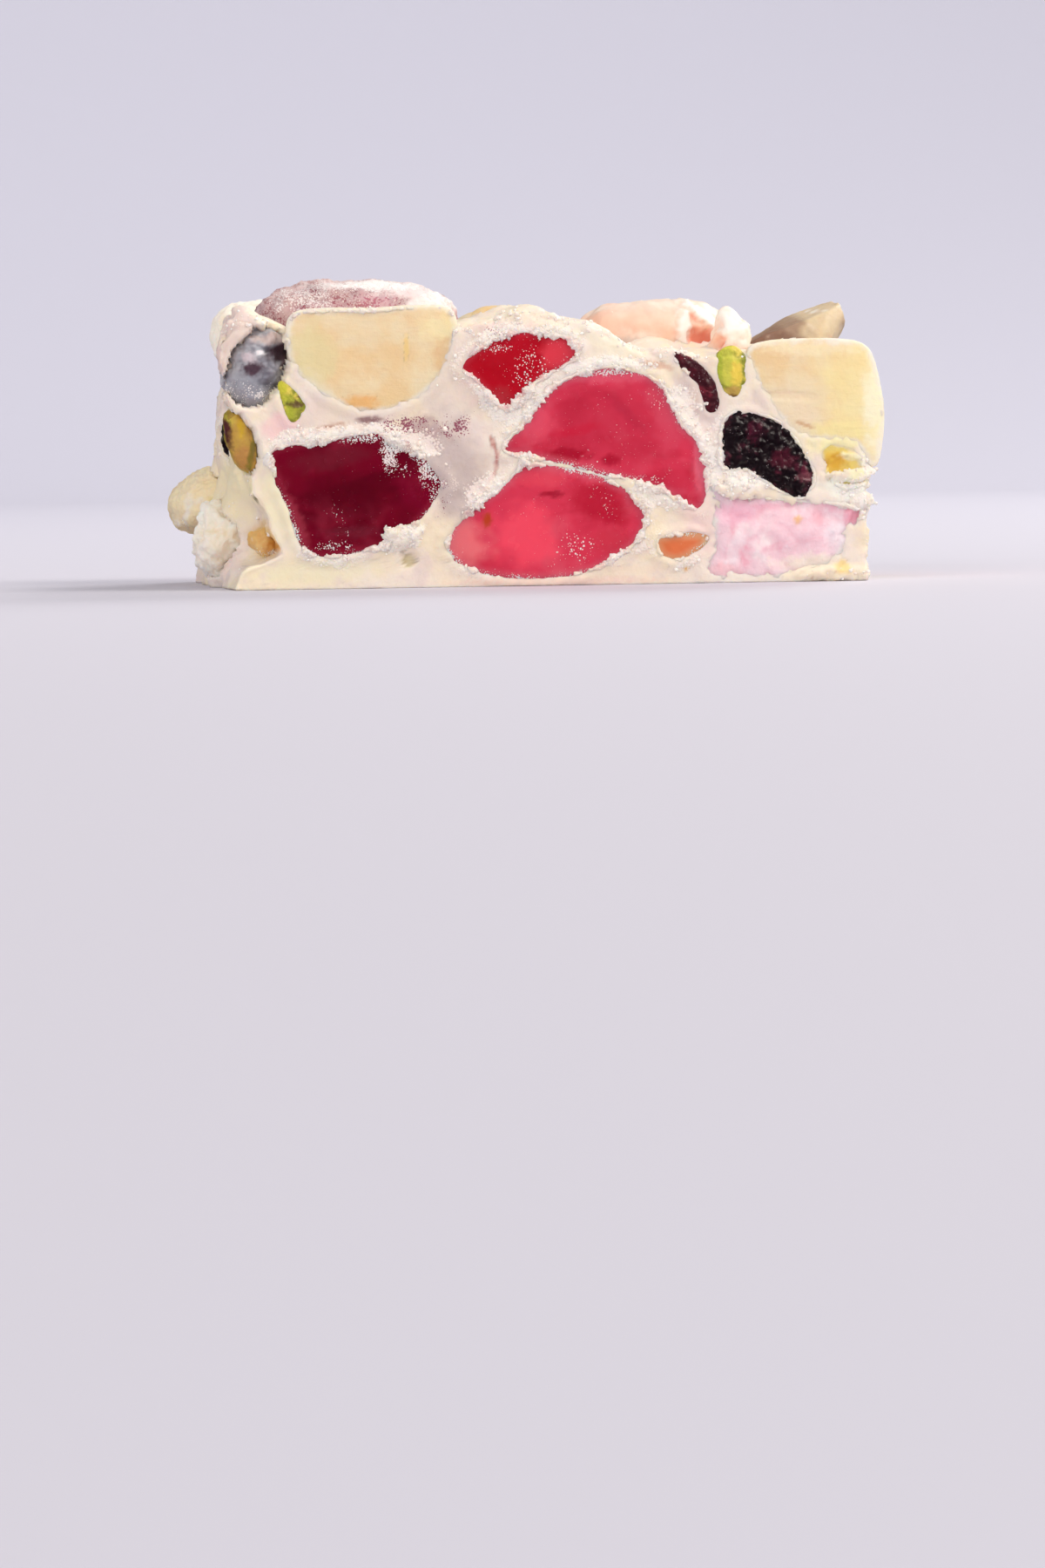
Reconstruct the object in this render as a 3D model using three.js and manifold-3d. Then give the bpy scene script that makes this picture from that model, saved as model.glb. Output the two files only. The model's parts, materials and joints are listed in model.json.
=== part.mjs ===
// A slice of white chocolate rocky road, cut from a slab: a cream-coloured chocolate block
// that holds jelly sweets, macadamias, pistachios, dried cranberries and marshmallows.
// Millimetres, +Z up. The slice lies on its flat base. X runs along its length and the
// knife-cut front faces -Y. The origin is the centre of the bounding box's bottom.
import * as THREE from "three";
import { mergeVertices } from "three/addons/utils/BufferGeometryUtils.js";
import Module from "manifold-3d";

const wasm = await Module();
wasm.setup();

// Driving dimensions
const SLICE_DEPTH = 34;
const RIGHT_END = 33.4;
const LEFT_END = -29;
const LEFT_SWING = 4.4;
const TOP_LEVEL = 22.1;
const TOP_RIPPLE = 0.35;
const CUT_PROUD = 0.15;
const FIT_GAP = 0.35;
const POCKET_REACH = 1.2;

// How far the chocolate climbs up a larger piece in the top, and how far beyond it that spreads
const CLIMB_RISE = 1.3;
const CLIMB_SPREAD = 1.5;
const CLIMBED_HALF = 3;

// How finely the solids are divided. The block's levels lie closer together near the base.
const BLOCK_STEPS = { length: 30, depth: 10, height: 8 };
const LEVEL_BIAS = 1.35;
const RING_TURNS = [0, 0.45, 0.78, 0.96];
const STEPS_PER_CORNER = 2;
const SMALL_HALF = 4;

// How outlines and whole pieces are rounded
const OUTLINE_TENSION = 0.42;
const SHARPEST_CORNER = 0.5;
const BACK_ROUNDNESS = 0.6;
const LUMP_COUNT = 3;
const LUMP_SIZE = 0.1;

// Finishes: colour, roughness and metalness
const FINISHES = {
  chocolate: { color: 0xf0e6d2, roughness: 0.5 },
  burgundyJelly: { color: 0x6e0c22, roughness: 0.22 },
  rubyJelly: { color: 0xb01026, roughness: 0.22 },
  roseJelly: { color: 0xd63a55, roughness: 0.22 },
  orangeJelly: { color: 0xdc8250, roughness: 0.22 },
  dustedJelly: { color: 0xc89aa2, roughness: 0.6 },
  macadamia: { color: 0xeddcb4, roughness: 0.5 },
  toastedNut: { color: 0xcdb698, roughness: 0.5 },
  pistachio: { color: 0xb9b832, roughness: 0.55 },
  cranberry: { color: 0x3a1420, roughness: 0.35 },
  redCranberry: { color: 0x6a1a26, roughness: 0.35 },
  coatedBerry: { color: 0x8f8a8e, roughness: 0.45 },
  pinkMarshmallow: { color: 0xf0c0cc, roughness: 0.8 },
  peachMarshmallow: { color: 0xf4cdbf, roughness: 0.7 },
  whiteMarshmallow: { color: 0xf6efe8, roughness: 0.8 },
};

// The left end at the cut front, as [height, x]: a broken hollow above a base ledge
const LEFT_PROFILE = [
  [0, -28.5],
  [1.2, -28.1],
  [3.6, -24.1],
  [6.3, -25],
  [10, -26.8],
  [14.6, -27.4],
  [18.6, -28.9],
  [23, -29.7],
  [27, -29.2],
];

// Mounds in the poured top where sweets lie just below it: centre, rise and spread
const MOUNDS = [
  { x: -28, y: 4, rise: 4.4, across: 4.6, deep: 8 },
  { x: -15, y: 6, rise: 3.5, across: 8.5, deep: 9 },
  { x: 0.2, y: 1, rise: 3.8, across: 8, deep: 7 },
  { x: 5.5, y: 3, rise: 1, across: 4, deep: 5 },
  { x: 14.5, y: 17, rise: 1, across: 8, deep: 7 },
  { x: -22, y: 27, rise: 2, across: 7, deep: 6 },
  { x: -2, y: 27, rise: 1.3, across: 8, deep: 6 },
  { x: 28, y: 37, rise: -2, across: 10, deep: 10 },
];

// Sweets and nuts that the knife went through. On each cut face x runs to the right and z up.
const FACES = {
  front: { turn: 0, x: 0, y: 0 },
  back: { turn: Math.PI, x: 0, y: SLICE_DEPTH },
  right: { turn: Math.PI / 2, x: RIGHT_END, y: 0 },
};

const FRONT_CUTS = [
  {
    name: "jelly_burgundy",
    finish: "burgundyJelly",
    depth: 9,
    outline: [
      [-25, 13], [-21, 14], [-15, 14.7], [-10.8, 12.7], [-8.3, 9.8],
      [-12.5, 5], [-17.5, 3.4], [-21.5, 3.6], [-23.3, 8],
    ],
  },
  {
    name: "jelly_ruby",
    finish: "rubyJelly",
    depth: 5,
    outline: [[-6.4, 21.3], [-2.3, 24.1], [3.4, 23.8], [4.7, 22], [1, 19.8], [-2.2, 17.1], [-5, 19.8]],
  },
  {
    name: "jelly_rose_upper",
    finish: "roseJelly",
    depth: 9,
    outline: [
      [-2.4, 13], [-0.5, 15.6], [2.6, 19.2], [7.9, 20.9], [12.6, 19.4], [14.9, 15.3],
      [17.3, 12.2], [16.6, 7.2], [12.6, 9.2], [8, 10.6], [2.8, 12],
    ],
  },
  {
    name: "jelly_rose_lower",
    finish: "roseJelly",
    depth: 8,
    outline: [
      [-8, 3.9], [-6.4, 6.7], [-2.4, 9.7], [-0.6, 11.6], [2.9, 11.2], [7.9, 9.8],
      [11.2, 7.3], [10.3, 4.2], [5.9, 1.5], [0, 0.9], [-5.6, 1.7],
    ],
  },
  {
    name: "macadamia_left",
    finish: "macadamia",
    depth: 6,
    outline: [
      [-22.5, 26], [-15.2, 26.4], [-7.7, 26.4], [-7.9, 21.8],
      [-10.7, 18.3], [-15.2, 17], [-18.9, 18.2], [-22.3, 21],
    ],
  },
  {
    name: "macadamia_right",
    finish: "macadamia",
    depth: 7,
    outline: [
      [21.8, 22.3], [26, 23.1], [31.4, 23], [33.5, 21.7], [34.6, 16.2],
      [33.9, 11.4], [32.3, 13.6], [29, 13.9], [26.2, 14.6], [23.6, 17.6],
    ],
  },
  {
    name: "macadamia_chip",
    finish: "macadamia",
    depth: 3,
    outline: [[28.7, 12.7], [30.8, 13.1], [32.3, 11.8], [33, 9.6], [30.8, 9.2], [29, 10.3]],
  },
  {
    name: "cranberry_black",
    finish: "cranberry",
    depth: 4.5,
    outline: [
      [18.9, 15.2], [20.5, 16.5], [24.2, 15.6], [26.5, 13.2],
      [27.9, 10.3], [26.7, 8.1], [24.1, 9.1], [21.2, 10.9], [18.9, 11.3],
    ],
  },
  {
    name: "cranberry_strip",
    finish: "redCranberry",
    depth: 2.5,
    outline: [[14.4, 22], [16.2, 21.2], [17.8, 19.6], [18.4, 17], [17.5, 16.9], [16.7, 19.3], [14.7, 21.1]],
  },
  {
    name: "pistachio_right",
    finish: "pistachio",
    depth: 4,
    outline: [
      [18.7, 21.9], [20, 22.6], [21.1, 21.6], [21.1, 19.4], [20.4, 18.1], [19.4, 18.4], [18.7, 20.1],
    ],
  },
  {
    name: "pistachio_chip",
    finish: "pistachio",
    depth: 1.3,
    outline: [[-23.9, 19.6], [-22.9, 19], [-21.6, 17.3], [-22.8, 16.2], [-23.5, 17.5]],
  },
  {
    name: "marshmallow_pink",
    finish: "pinkMarshmallow",
    depth: 11,
    outline: [
      [18.2, 9.5], [22.2, 8.2], [29.6, 7.5], [32.6, 6.6], [30.9, 4.3],
      [29.4, 2.2], [26.2, 1], [22.2, 0.8], [17.6, 1.1], [18.4, 4.6],
    ],
  },
  {
    name: "jelly_orange",
    finish: "orangeJelly",
    depth: 3.5,
    outline: [[12.5, 4.3], [15, 4.7], [17.2, 4.4], [16.3, 3.4], [14.5, 2.4], [12.9, 2.8]],
  },
];

// Cuts on the other faces: where each is, its width and height, its depth and its corners
const OTHER_CUTS = [
  cutOn("back", "back_jelly_ruby", "rubyJelly", [18.8, 10.2], [16, 14], 8, 5),
  cutOn("back", "back_jelly_orange", "orangeJelly", [-13, 9.6], [16, 15], 8, 5),
  cutOn("back", "back_jelly_rose", "roseJelly", [-1.4, 8], [7, 8], 5, 5),
  cutOn("back", "back_macadamia", "macadamia", [4.5, 17], [16, 11], 7, 8),
  cutOn("back", "back_pistachio", "pistachio", [-25, 15.4], [12, 8], 4, 8),
  cutOn("back", "back_marshmallow", "pinkMarshmallow", [-26.6, 6.6], [11, 9], 5, 6),
  cutOn("back", "back_cranberry", "cranberry", [7.2, 5], [9, 5.5], 3, 7),
  cutOn("back", "back_cranberry_strip", "redCranberry", [-11, 20], [9, 2.8], 2.5, 6),
  cutOn("back", "back_pistachio_chip", "pistachio", [15.6, 20.2], [6, 4], 2.5, 6),
  cutOn("right", "right_jelly_rose", "roseJelly", [18, 12], [13, 11], 6, 5),
  cutOn("right", "right_cranberry", "cranberry", [25.5, 4.4], [7, 4.5], 2.5, 7),
  cutOn("right", "right_pistachio", "pistachio", [14.5, 3.6], [9, 5], 3, 8),
];

// Pieces that stand out of the poured top or the broken left end: centre, half sizes, how
// square they are (lower is squarer), tilt, and how far the top leans to the right
const WHOLE_PIECES = [
  whole("top_jelly", "dustedJelly", [-14.4, 13.6, 25.6], [10.8, 6.2, 4.2], 0.85, [0.05, 0.03, 0.06]),
  whole("top_marshmallow", "peachMarshmallow", [15.6, 18, 23.9], [8.1, 6.4, 3.8], 0.8, [0, -0.04, 0.2]),
  whole("top_marshmallow_bit", "peachMarshmallow", [21.3, 8.6, 23.7], [1.9, 2.2, 2.6], 0.8, [0, 0.2, 0.3]),
  whole("top_nut_right", "toastedNut", [28.3, 13.4, 23.4], [5.1, 4.4, 4.1], 0.9, [0, -0.12, 0.1], 3.6),
  whole("top_macadamia", "macadamia", [-1.6, 5.5, 25.4], [3.4, 2.4, 1.6], 0.9, [0, 0.08, 0.2]),
  whole("coated_berry", "coatedBerry", [-26, 2.9, 21.2], [2.7, 2.8, 4.1], 0.9, [0, 0.42, 0]),
  whole("left_pistachio", "pistachio", [-27.5, 2.8, 14.1], [1.3, 2.2, 3.2], 0.95, [0, -0.34, 0]),
  whole("left_macadamia", "macadamia", [-28.2, 24, 8], [4.4, 5.4, 3.6], 0.8, [0.1, -0.5, 0.1]),
  whole("left_marshmallow", "whiteMarshmallow", [-28, 12.2, 4.7], [3.2, 4.6, 3.9], 0.8, [0, 0.1, 0.1]),
  whole("left_macadamia_chip", "macadamia", [-25.4, 2.5, 4.4], [1.5, 1.6, 1.3], 0.7, [0.3, 0.5, 0]),
  whole("left_jelly_ruby", "rubyJelly", [-24.4, 19.6, 16.4], [3.6, 4.4, 3.8], 0.6, [0.1, -0.1, 0.1]),
  whole("left_cranberry", "cranberry", [-26.9, 10.8, 14.6], [1.6, 3, 2.1], 0.9, [0.5, 0, 0]),
  whole("top_marshmallow_back", "whiteMarshmallow", [-22.5, 26.6, 24.6], [5.4, 4.8, 3.6], 0.75, [0.1, 0, 0]),
  whole("top_cranberry", "redCranberry", [-8.6, 24.8, 24.3], [4.2, 2, 1.4], 0.9, [0, 0.1, 0.7]),
  whole("top_macadamia_back", "macadamia", [0.8, 26, 24.2], [4.6, 4.4, 3], 0.85, [0, 0, 0.3]),
  whole("top_pistachio", "pistachio", [4.4, 14.4, 23.4], [1.7, 3.4, 1.5], 0.95, [0, 0, -0.4]),
  whole("top_jelly_back", "dustedJelly", [20.8, 29, 22.1], [4.4, 3.6, 3.1], 0.6, [0.1, 0.08, 0.2]),
  whole("top_cranberry_back", "cranberry", [10.8, 28.6, 22.6], [3.6, 2.2, 1.5], 0.9, [0, 0, 0.3]),
];

function cutOn(face, name, finish, at, size, depth, corners) {
  return { face, name, finish, at, size, depth, corners };
}

function whole(name, finish, at, half, blocky, tilt, lean = 0) {
  return { name, finish, at, half, blocky, tilt, lean };
}

// A repeatable source of numbers from 0 to 1
function randomFrom(seed) {
  let state = seed >>> 0;
  return () => {
    state = (state + 0x6d2b79f5) >>> 0;
    let mixed = Math.imul(state ^ (state >>> 15), state | 1);
    mixed ^= mixed + Math.imul(mixed ^ (mixed >>> 7), mixed | 61);
    return ((mixed ^ (mixed >>> 14)) >>> 0) / 4294967296;
  };
}

function seedOf(name) {
  return [...name].reduce((sum, letter) => (sum * 31 + letter.charCodeAt(0)) >>> 0, 7);
}

// The value at a height on a profile of [height, value] pairs, eased between the pairs
function alongProfile(profile, height) {
  for (let i = 1; i < profile.length; i++) {
    const [low, before] = profile[i - 1];
    const [high, after] = profile[i];
    if (height <= high) {
      return THREE.MathUtils.lerp(before, after, THREE.MathUtils.smoothstep(height, low, high));
    }
  }
  return profile[profile.length - 1][1];
}

function moundRise(x, y, mound) {
  const across = (x - mound.x) / mound.across;
  const deep = (y - mound.y) / mound.deep;
  return mound.rise * Math.exp(-across * across - deep * deep);
}

// The chocolate that climbs round each larger piece in the top
function climbs() {
  const climbed = WHOLE_PIECES.filter(({ at, half }) => at[2] > TOP_LEVEL && half[0] > CLIMBED_HALF);
  return climbed.map(({ at, half }) => ({
    x: at[0],
    y: at[1],
    rise: CLIMB_RISE,
    across: half[0] + CLIMB_SPREAD,
    deep: half[1] + CLIMB_SPREAD,
  }));
}

// The poured top's height above the base
function topHeight(x, y) {
  const mounds = MOUNDS.reduce((sum, mound) => sum + moundRise(x, y, mound), 0);
  const climb = CLIMBS.reduce((most, mound) => Math.max(most, moundRise(x, y, mound)), 0);
  const ripple = TOP_RIPPLE * Math.sin(0.9 * x + 1.3) * Math.sin(0.7 * y + 0.4);
  return TOP_LEVEL + mounds + climb + ripple;
}

// Where the left end stands at a depth and height. Its hollow fades towards the back, and
// there its top swings inwards.
function leftEnd(y, z) {
  const inward = THREE.MathUtils.smoothstep(y, 3, 12);
  const swing = LEFT_SWING * (y / SLICE_DEPTH) * (z / TOP_LEVEL);
  const rough = 0.5 * Math.sin(0.8 * y + 0.5 * z) * inward;
  return THREE.MathUtils.lerp(alongProfile(LEFT_PROFILE, z), LEFT_END, inward) + swing + rough;
}

// Where the right end stands: a rough cut that bows a little
function rightEnd(y, z) {
  const bow = 0.3 * Math.sin(0.16 * y + 0.5) + 0.25 * Math.sin(0.21 * z + 0.9);
  const rough = 0.22 * Math.sin(0.83 * y + 1.9) * Math.sin(0.61 * z + 0.4);
  return RIGHT_END - 0.7 + bow + rough;
}

// A closed geometry with only shared positions
function bareGeometry(geometry) {
  const bare = geometry.clone();
  bare.deleteAttribute("normal");
  bare.deleteAttribute("uv");
  return mergeVertices(bare, 1e-4);
}

// The chocolate without its pockets
function blockGeometry() {
  const { length, depth, height } = BLOCK_STEPS;
  const box = new THREE.BoxGeometry(1, 1, 1, length, depth, height);
  const position = box.getAttribute("position");
  for (let i = 0; i < position.count; i++) {
    const along = position.getX(i) + 0.5;
    const y = (position.getY(i) + 0.5) * SLICE_DEPTH;
    const up = (position.getZ(i) + 0.5) ** LEVEL_BIAS;
    const roughX = THREE.MathUtils.lerp(LEFT_END, RIGHT_END, along);
    const z = up * topHeight(roughX, y);
    const x = THREE.MathUtils.lerp(leftEnd(y, z), rightEnd(y, z), along);
    position.setXYZ(i, x, y, up * topHeight(x, y));
  }
  return bareGeometry(box);
}

// A closed smooth line that passes through its corners
function smoothOutline(corners) {
  const points = corners.map(([x, z]) => new THREE.Vector3(x, 0, z));
  const curve = new THREE.CatmullRomCurve3(points, true, "catmullrom", OUTLINE_TENSION);
  return curve.getPoints(corners.length * STEPS_PER_CORNER).slice(0, -1);
}

// An uneven form with the cut's own corners, drawn from its name's random numbers
function unevenOutline({ name, size: [width, height], corners }) {
  const random = randomFrom(seedOf(name));
  const start = random() * Math.PI;
  const points = Array.from({ length: corners }, (_, i) => {
    const angle = start - ((i + 0.35 * (random() - 0.5)) / corners) * 2 * Math.PI;
    const reach = 0.88 + 0.24 * random();
    return [0.5 * width * reach * Math.cos(angle), 0.5 * height * reach * Math.sin(angle)];
  });
  return smoothOutline(points);
}

// An outline pushed out by a gap. Corners go further, so that their sides keep the gap too.
function pushedOut(outline, gap) {
  const count = outline.length;
  const turn = Math.sign(THREE.ShapeUtils.area(outline.map((p) => new THREE.Vector2(p.x, p.z))));
  return outline.map((point, i) => {
    const before = point.clone().sub(outline[(i + count - 1) % count]).normalize();
    const after = outline[(i + 1) % count].clone().sub(point).normalize();
    const along = before.add(after).normalize();
    const reach = gap / Math.max(SHARPEST_CORNER, along.dot(after));
    return new THREE.Vector3(point.x + turn * along.z * reach, 0, point.z - turn * along.x * reach);
  });
}

// A cut piece: its outline in the cut plane, narrowing inwards to a rounded back
function cutPieceGeometry(outline, depth, grow, reach) {
  const centre = outline.reduce((sum, p) => sum.add(p), new THREE.Vector3()).divideScalar(outline.length);
  const rings = RING_TURNS.map((turn) => {
    const scale = Math.cos((turn * Math.PI) / 2) ** BACK_ROUNDNESS;
    const scaled = outline.map((p) => p.clone().sub(centre).multiplyScalar(scale).add(centre));
    const inward = turn === 0 ? -reach : (depth + grow) * Math.sin((turn * Math.PI) / 2);
    return pushedOut(scaled, grow).map((p) => p.setY(inward));
  });
  const count = outline.length;
  const positions = rings.flat().flatMap((p) => [p.x, p.y, p.z]);
  const faces = [];
  for (let ring = 0; ring + 1 < rings.length; ring++) {
    for (let i = 0; i < count; i++) {
      const here = ring * count + i;
      const next = ring * count + ((i + 1) % count);
      faces.push(here, next, next + count, here, next + count, here + count);
    }
  }
  addCap(faces, rings[0], 0, true);
  addCap(faces, rings[rings.length - 1], (rings.length - 1) * count, false);
  const geometry = new THREE.BufferGeometry();
  geometry.setAttribute("position", new THREE.Float32BufferAttribute(positions, 3));
  geometry.setIndex(facingOut(positions, faces));
  return geometry;
}

// The flat triangles that close a ring
function addCap(faces, ring, first, flip) {
  const flat = ring.map((p) => new THREE.Vector2(p.x, p.z));
  const clockwise = THREE.ShapeUtils.area(flat) < 0;
  for (const triangle of THREE.ShapeUtils.triangulateShape(flat, [])) {
    const [a, b, c] = triangle.map((i) => first + i);
    faces.push(...(flip !== clockwise ? [a, c, b] : [a, b, c]));
  }
  return faces;
}

// The faces turned so that the solid they bound has a positive volume
function facingOut(positions, faces) {
  let volume = 0;
  const corner = (i) => new THREE.Vector3().fromArray(positions, 3 * i);
  for (let i = 0; i < faces.length; i += 3) {
    const [a, b, c] = [corner(faces[i]), corner(faces[i + 1]), corner(faces[i + 2])];
    volume += a.dot(b.cross(c));
  }
  return volume > 0 ? faces : faces.slice().reverse();
}

// A whole piece: a rounded box with a few soft lumps, grown by a gap for its pocket
function wholePieceGeometry(piece, grow) {
  const detail = Math.max(...piece.half) > SMALL_HALF ? 2 : 1;
  const sphere = bareGeometry(new THREE.IcosahedronGeometry(1, detail));
  const random = randomFrom(seedOf(piece.name));
  const lumps = Array.from({ length: LUMP_COUNT }, () => ({
    way: new THREE.Vector3(random() - 0.5, random() - 0.5, random() - 0.5).normalize(),
    size: LUMP_SIZE * (random() - 0.35),
  }));
  const half = new THREE.Vector3(...piece.half);
  const position = sphere.getAttribute("position");
  const point = new THREE.Vector3();
  for (let i = 0; i < position.count; i++) {
    point.fromBufferAttribute(position, i).normalize();
    const swell = lumps.reduce((sum, lump) => sum + lump.size * Math.max(0, point.dot(lump.way)) ** 2, 1);
    const boxed = point.toArray().map((v) => Math.sign(v) * Math.abs(v) ** piece.blocky * swell);
    const lean = piece.lean * boxed[2];
    position.setXYZ(i, boxed[0] * half.x + lean, boxed[1] * half.y, boxed[2] * half.z);
  }
  sphere.computeVertexNormals();
  const normal = sphere.getAttribute("normal");
  for (let i = 0; i < position.count; i++) {
    point.fromBufferAttribute(position, i);
    point.addScaledVector(new THREE.Vector3().fromBufferAttribute(normal, i), grow);
    position.setXYZ(i, point.x, point.y, point.z);
  }
  return sphere;
}

function solidOf(geometry, matrix) {
  const bare = bareGeometry(geometry).applyMatrix4(matrix);
  return new wasm.Manifold(
    new wasm.Mesh({
      numProp: 3,
      vertProperties: new Float32Array(bare.getAttribute("position").array),
      triVerts: new Uint32Array(bare.index.array),
    }),
  );
}

function geometryOf(solid) {
  const mesh = solid.getMesh();
  const geometry = new THREE.BufferGeometry();
  geometry.setAttribute("position", new THREE.BufferAttribute(mesh.vertProperties, 3));
  geometry.setIndex(new THREE.BufferAttribute(mesh.triVerts, 1));
  return geometry;
}

function namedMesh(name, finish, geometry) {
  const { color, roughness } = FINISHES[finish];
  geometry.computeVertexNormals();
  const mesh = new THREE.Mesh(
    geometry,
    new THREE.MeshStandardMaterial({ color, roughness, metalness: 0 }),
  );
  mesh.name = name;
  return mesh;
}

// Each piece with the larger shape of the pocket that it sits in
function frontPieces() {
  return FRONT_CUTS.map((cut) => {
    const outline = smoothOutline(cut.outline);
    const mesh = namedMesh(cut.name, cut.finish, cutPieceGeometry(outline, cut.depth, 0, CUT_PROUD));
    return { mesh, pocket: cutPieceGeometry(outline, cut.depth, FIT_GAP, POCKET_REACH) };
  });
}

function otherCutPieces() {
  return OTHER_CUTS.map((cut) => {
    const outline = unevenOutline(cut);
    const mesh = namedMesh(cut.name, cut.finish, cutPieceGeometry(outline, cut.depth, 0, CUT_PROUD));
    const face = FACES[cut.face];
    mesh.rotation.z = face.turn;
    mesh.position.set(cut.at[0], 0, cut.at[1]).applyAxisAngle(new THREE.Vector3(0, 0, 1), face.turn);
    mesh.position.x += face.x;
    mesh.position.y += face.y;
    return { mesh, pocket: cutPieceGeometry(outline, cut.depth, FIT_GAP, POCKET_REACH) };
  });
}

function wholePieces() {
  return WHOLE_PIECES.map((piece) => {
    const mesh = namedMesh(piece.name, piece.finish, wholePieceGeometry(piece, 0));
    mesh.rotation.set(...piece.tilt);
    mesh.position.set(...piece.at);
    return { mesh, pocket: wholePieceGeometry(piece, FIT_GAP) };
  });
}

// The block less every pocket, without any loose scrap
function chocolateMesh(pieces) {
  let solid = solidOf(blockGeometry(), new THREE.Matrix4());
  for (const { mesh, pocket } of pieces) {
    mesh.updateMatrix();
    solid = solid.subtract(solidOf(pocket, mesh.matrix));
  }
  const [largest] = solid.decompose().sort((a, b) => b.volume() - a.volume());
  return namedMesh("chocolate", "chocolate", geometryOf(largest));
}

const CLIMBS = climbs();
const pieces = [...frontPieces(), ...otherCutPieces(), ...wholePieces()];
const slice = new THREE.Group();
slice.add(chocolateMesh(pieces), ...pieces.map(({ mesh }) => mesh));

// The origin goes to the middle of the bounding box's bottom
const bounds = new THREE.Box3().setFromObject(slice, true);
const middle = bounds.getCenter(new THREE.Vector3());
slice.position.set(-middle.x, -middle.y, -bounds.min.z);

export default slice;
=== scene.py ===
"""Looks of a cut slice of white chocolate rocky road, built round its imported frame.

The frame holds every piece as a plain solid. This file gives each one its fine form: the chocolate block with
its crumbly rims, the sweets, nuts and fruit that the knife cut, the whole ones that stand in the poured top,
and the crumbs and sugar that lie on them. Forms are worked out in millimetres in the row frame, and become
metres once, when a piece is finished.
"""
import json
import logging
import math
from collections.abc import Callable
from dataclasses import dataclass
from enum import Enum
from itertools import product

import bmesh
import bpy
import numpy as np
from mathutils import Matrix, Vector
from mathutils.bvhtree import BVHTree


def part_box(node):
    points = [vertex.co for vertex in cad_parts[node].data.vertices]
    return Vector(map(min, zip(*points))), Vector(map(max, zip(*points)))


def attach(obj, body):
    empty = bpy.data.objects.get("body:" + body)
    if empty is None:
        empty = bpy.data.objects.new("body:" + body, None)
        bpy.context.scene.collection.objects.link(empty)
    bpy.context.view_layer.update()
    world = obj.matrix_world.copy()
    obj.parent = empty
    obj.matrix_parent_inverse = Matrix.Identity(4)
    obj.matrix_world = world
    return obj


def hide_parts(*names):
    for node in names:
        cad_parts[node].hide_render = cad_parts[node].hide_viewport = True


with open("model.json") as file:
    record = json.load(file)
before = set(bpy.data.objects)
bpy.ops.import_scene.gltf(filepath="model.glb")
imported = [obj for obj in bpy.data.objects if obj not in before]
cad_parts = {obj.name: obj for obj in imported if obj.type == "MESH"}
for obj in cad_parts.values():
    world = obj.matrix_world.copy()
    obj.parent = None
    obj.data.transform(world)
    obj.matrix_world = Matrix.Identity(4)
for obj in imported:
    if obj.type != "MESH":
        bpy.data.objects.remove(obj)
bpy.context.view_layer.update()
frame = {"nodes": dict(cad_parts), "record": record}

SLOTS = {part["node"]: part["material_slot"] for part in frame["record"]["subparts"]}
MM = 0.001
LOG = logging.getLogger("rocky_road")

Array = np.ndarray
Colour = tuple[int, int, int]
Triple = tuple[float, float, float]
UP = np.array([0, 0, 1])
FINEST = 0.12
TINY = 1e-6


def linear(colour: Colour) -> tuple[float, float, float, float]:
    """Turn a screen colour into the linear one that shaders use.

    Args:
        colour: Red, green and blue from 0 to 255.

    Returns:
        Linear red, green and blue, and 1.
    """
    parts = [c / 255 for c in colour]
    lit = [c / 12.92 if c <= 0.04045 else ((c + 0.055) / 1.055) ** 2.4 for c in parts]
    return (*lit, 1.0)


def eased(values: Array, low: Array | float, high: Array | float) -> Array:
    """Rise smoothly from 0 at low to 1 at high, or fall where high is the smaller."""
    share = np.clip((values - low) / (high - low), 0, 1)
    return share * share * (3 - 2 * share)


class Noise:
    """Smooth repeatable noise in space, from about -1 to 1."""

    STRENGTH = 1.7
    ROUGH_SHIFT = 31.7
    CREASED_SHIFT = 17.3

    def __init__(self, seed: int) -> None:
        """Draw the lattice's directions from a seed."""
        draw = np.random.default_rng(seed)
        self.order = np.tile(draw.permutation(256), 3)
        ways = draw.normal(size=(256, 3))
        self.ways = ways / np.linalg.norm(ways, axis=1, keepdims=True)

    def at(self, points: Array, size: float | Triple) -> Array:
        """Read the noise at some points.

        Args:
            points: Places in millimetres, one a row.
            size: How large its lumps are, in millimetres, or one size for each axis.

        Returns:
            One number for each point.
        """
        places = points / np.asarray(size, float)
        cell = np.floor(places).astype(int)
        part = places - cell
        ease = part**3 * (part * (part * 6 - 15) + 10)
        total = np.zeros(len(points))
        for corner in product((0, 1), repeat=3):
            step = np.array(corner)
            x, y, z = ((cell + step) & 255).T
            way = self.ways[self.order[self.order[self.order[x] + y] + z]]
            weight = np.prod(np.where(step == 1, ease, 1 - ease), axis=1)
            total += weight * np.einsum("ij,ij->i", way, part - step)
        return total * self.STRENGTH

    def layers(self, points: Array, size: float | Triple, count: int, shift: float) -> list[Array]:
        """Read layers of noise some way apart, each half as large and half as strong as the one before."""
        return [self.at(points + shift * k, np.asarray(size, float) / 2**k) / 2**k for k in range(count)]

    def rough(self, points: Array, size: float | Triple, layers: int = 3) -> Array:
        """Sum layers of noise."""
        return sum(self.layers(points, size, layers, self.ROUGH_SHIFT))

    def creased(self, points: Array, size: float | Triple, layers: int = 3) -> Array:
        """Sum layers of noise that is folded at zero, so that it has sharp creases at 0 and lumps up to 1."""
        return sum(np.abs(layer) for layer in self.layers(points, size, layers, self.CREASED_SHIFT))


NOISE = Noise(seed=11)


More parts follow.
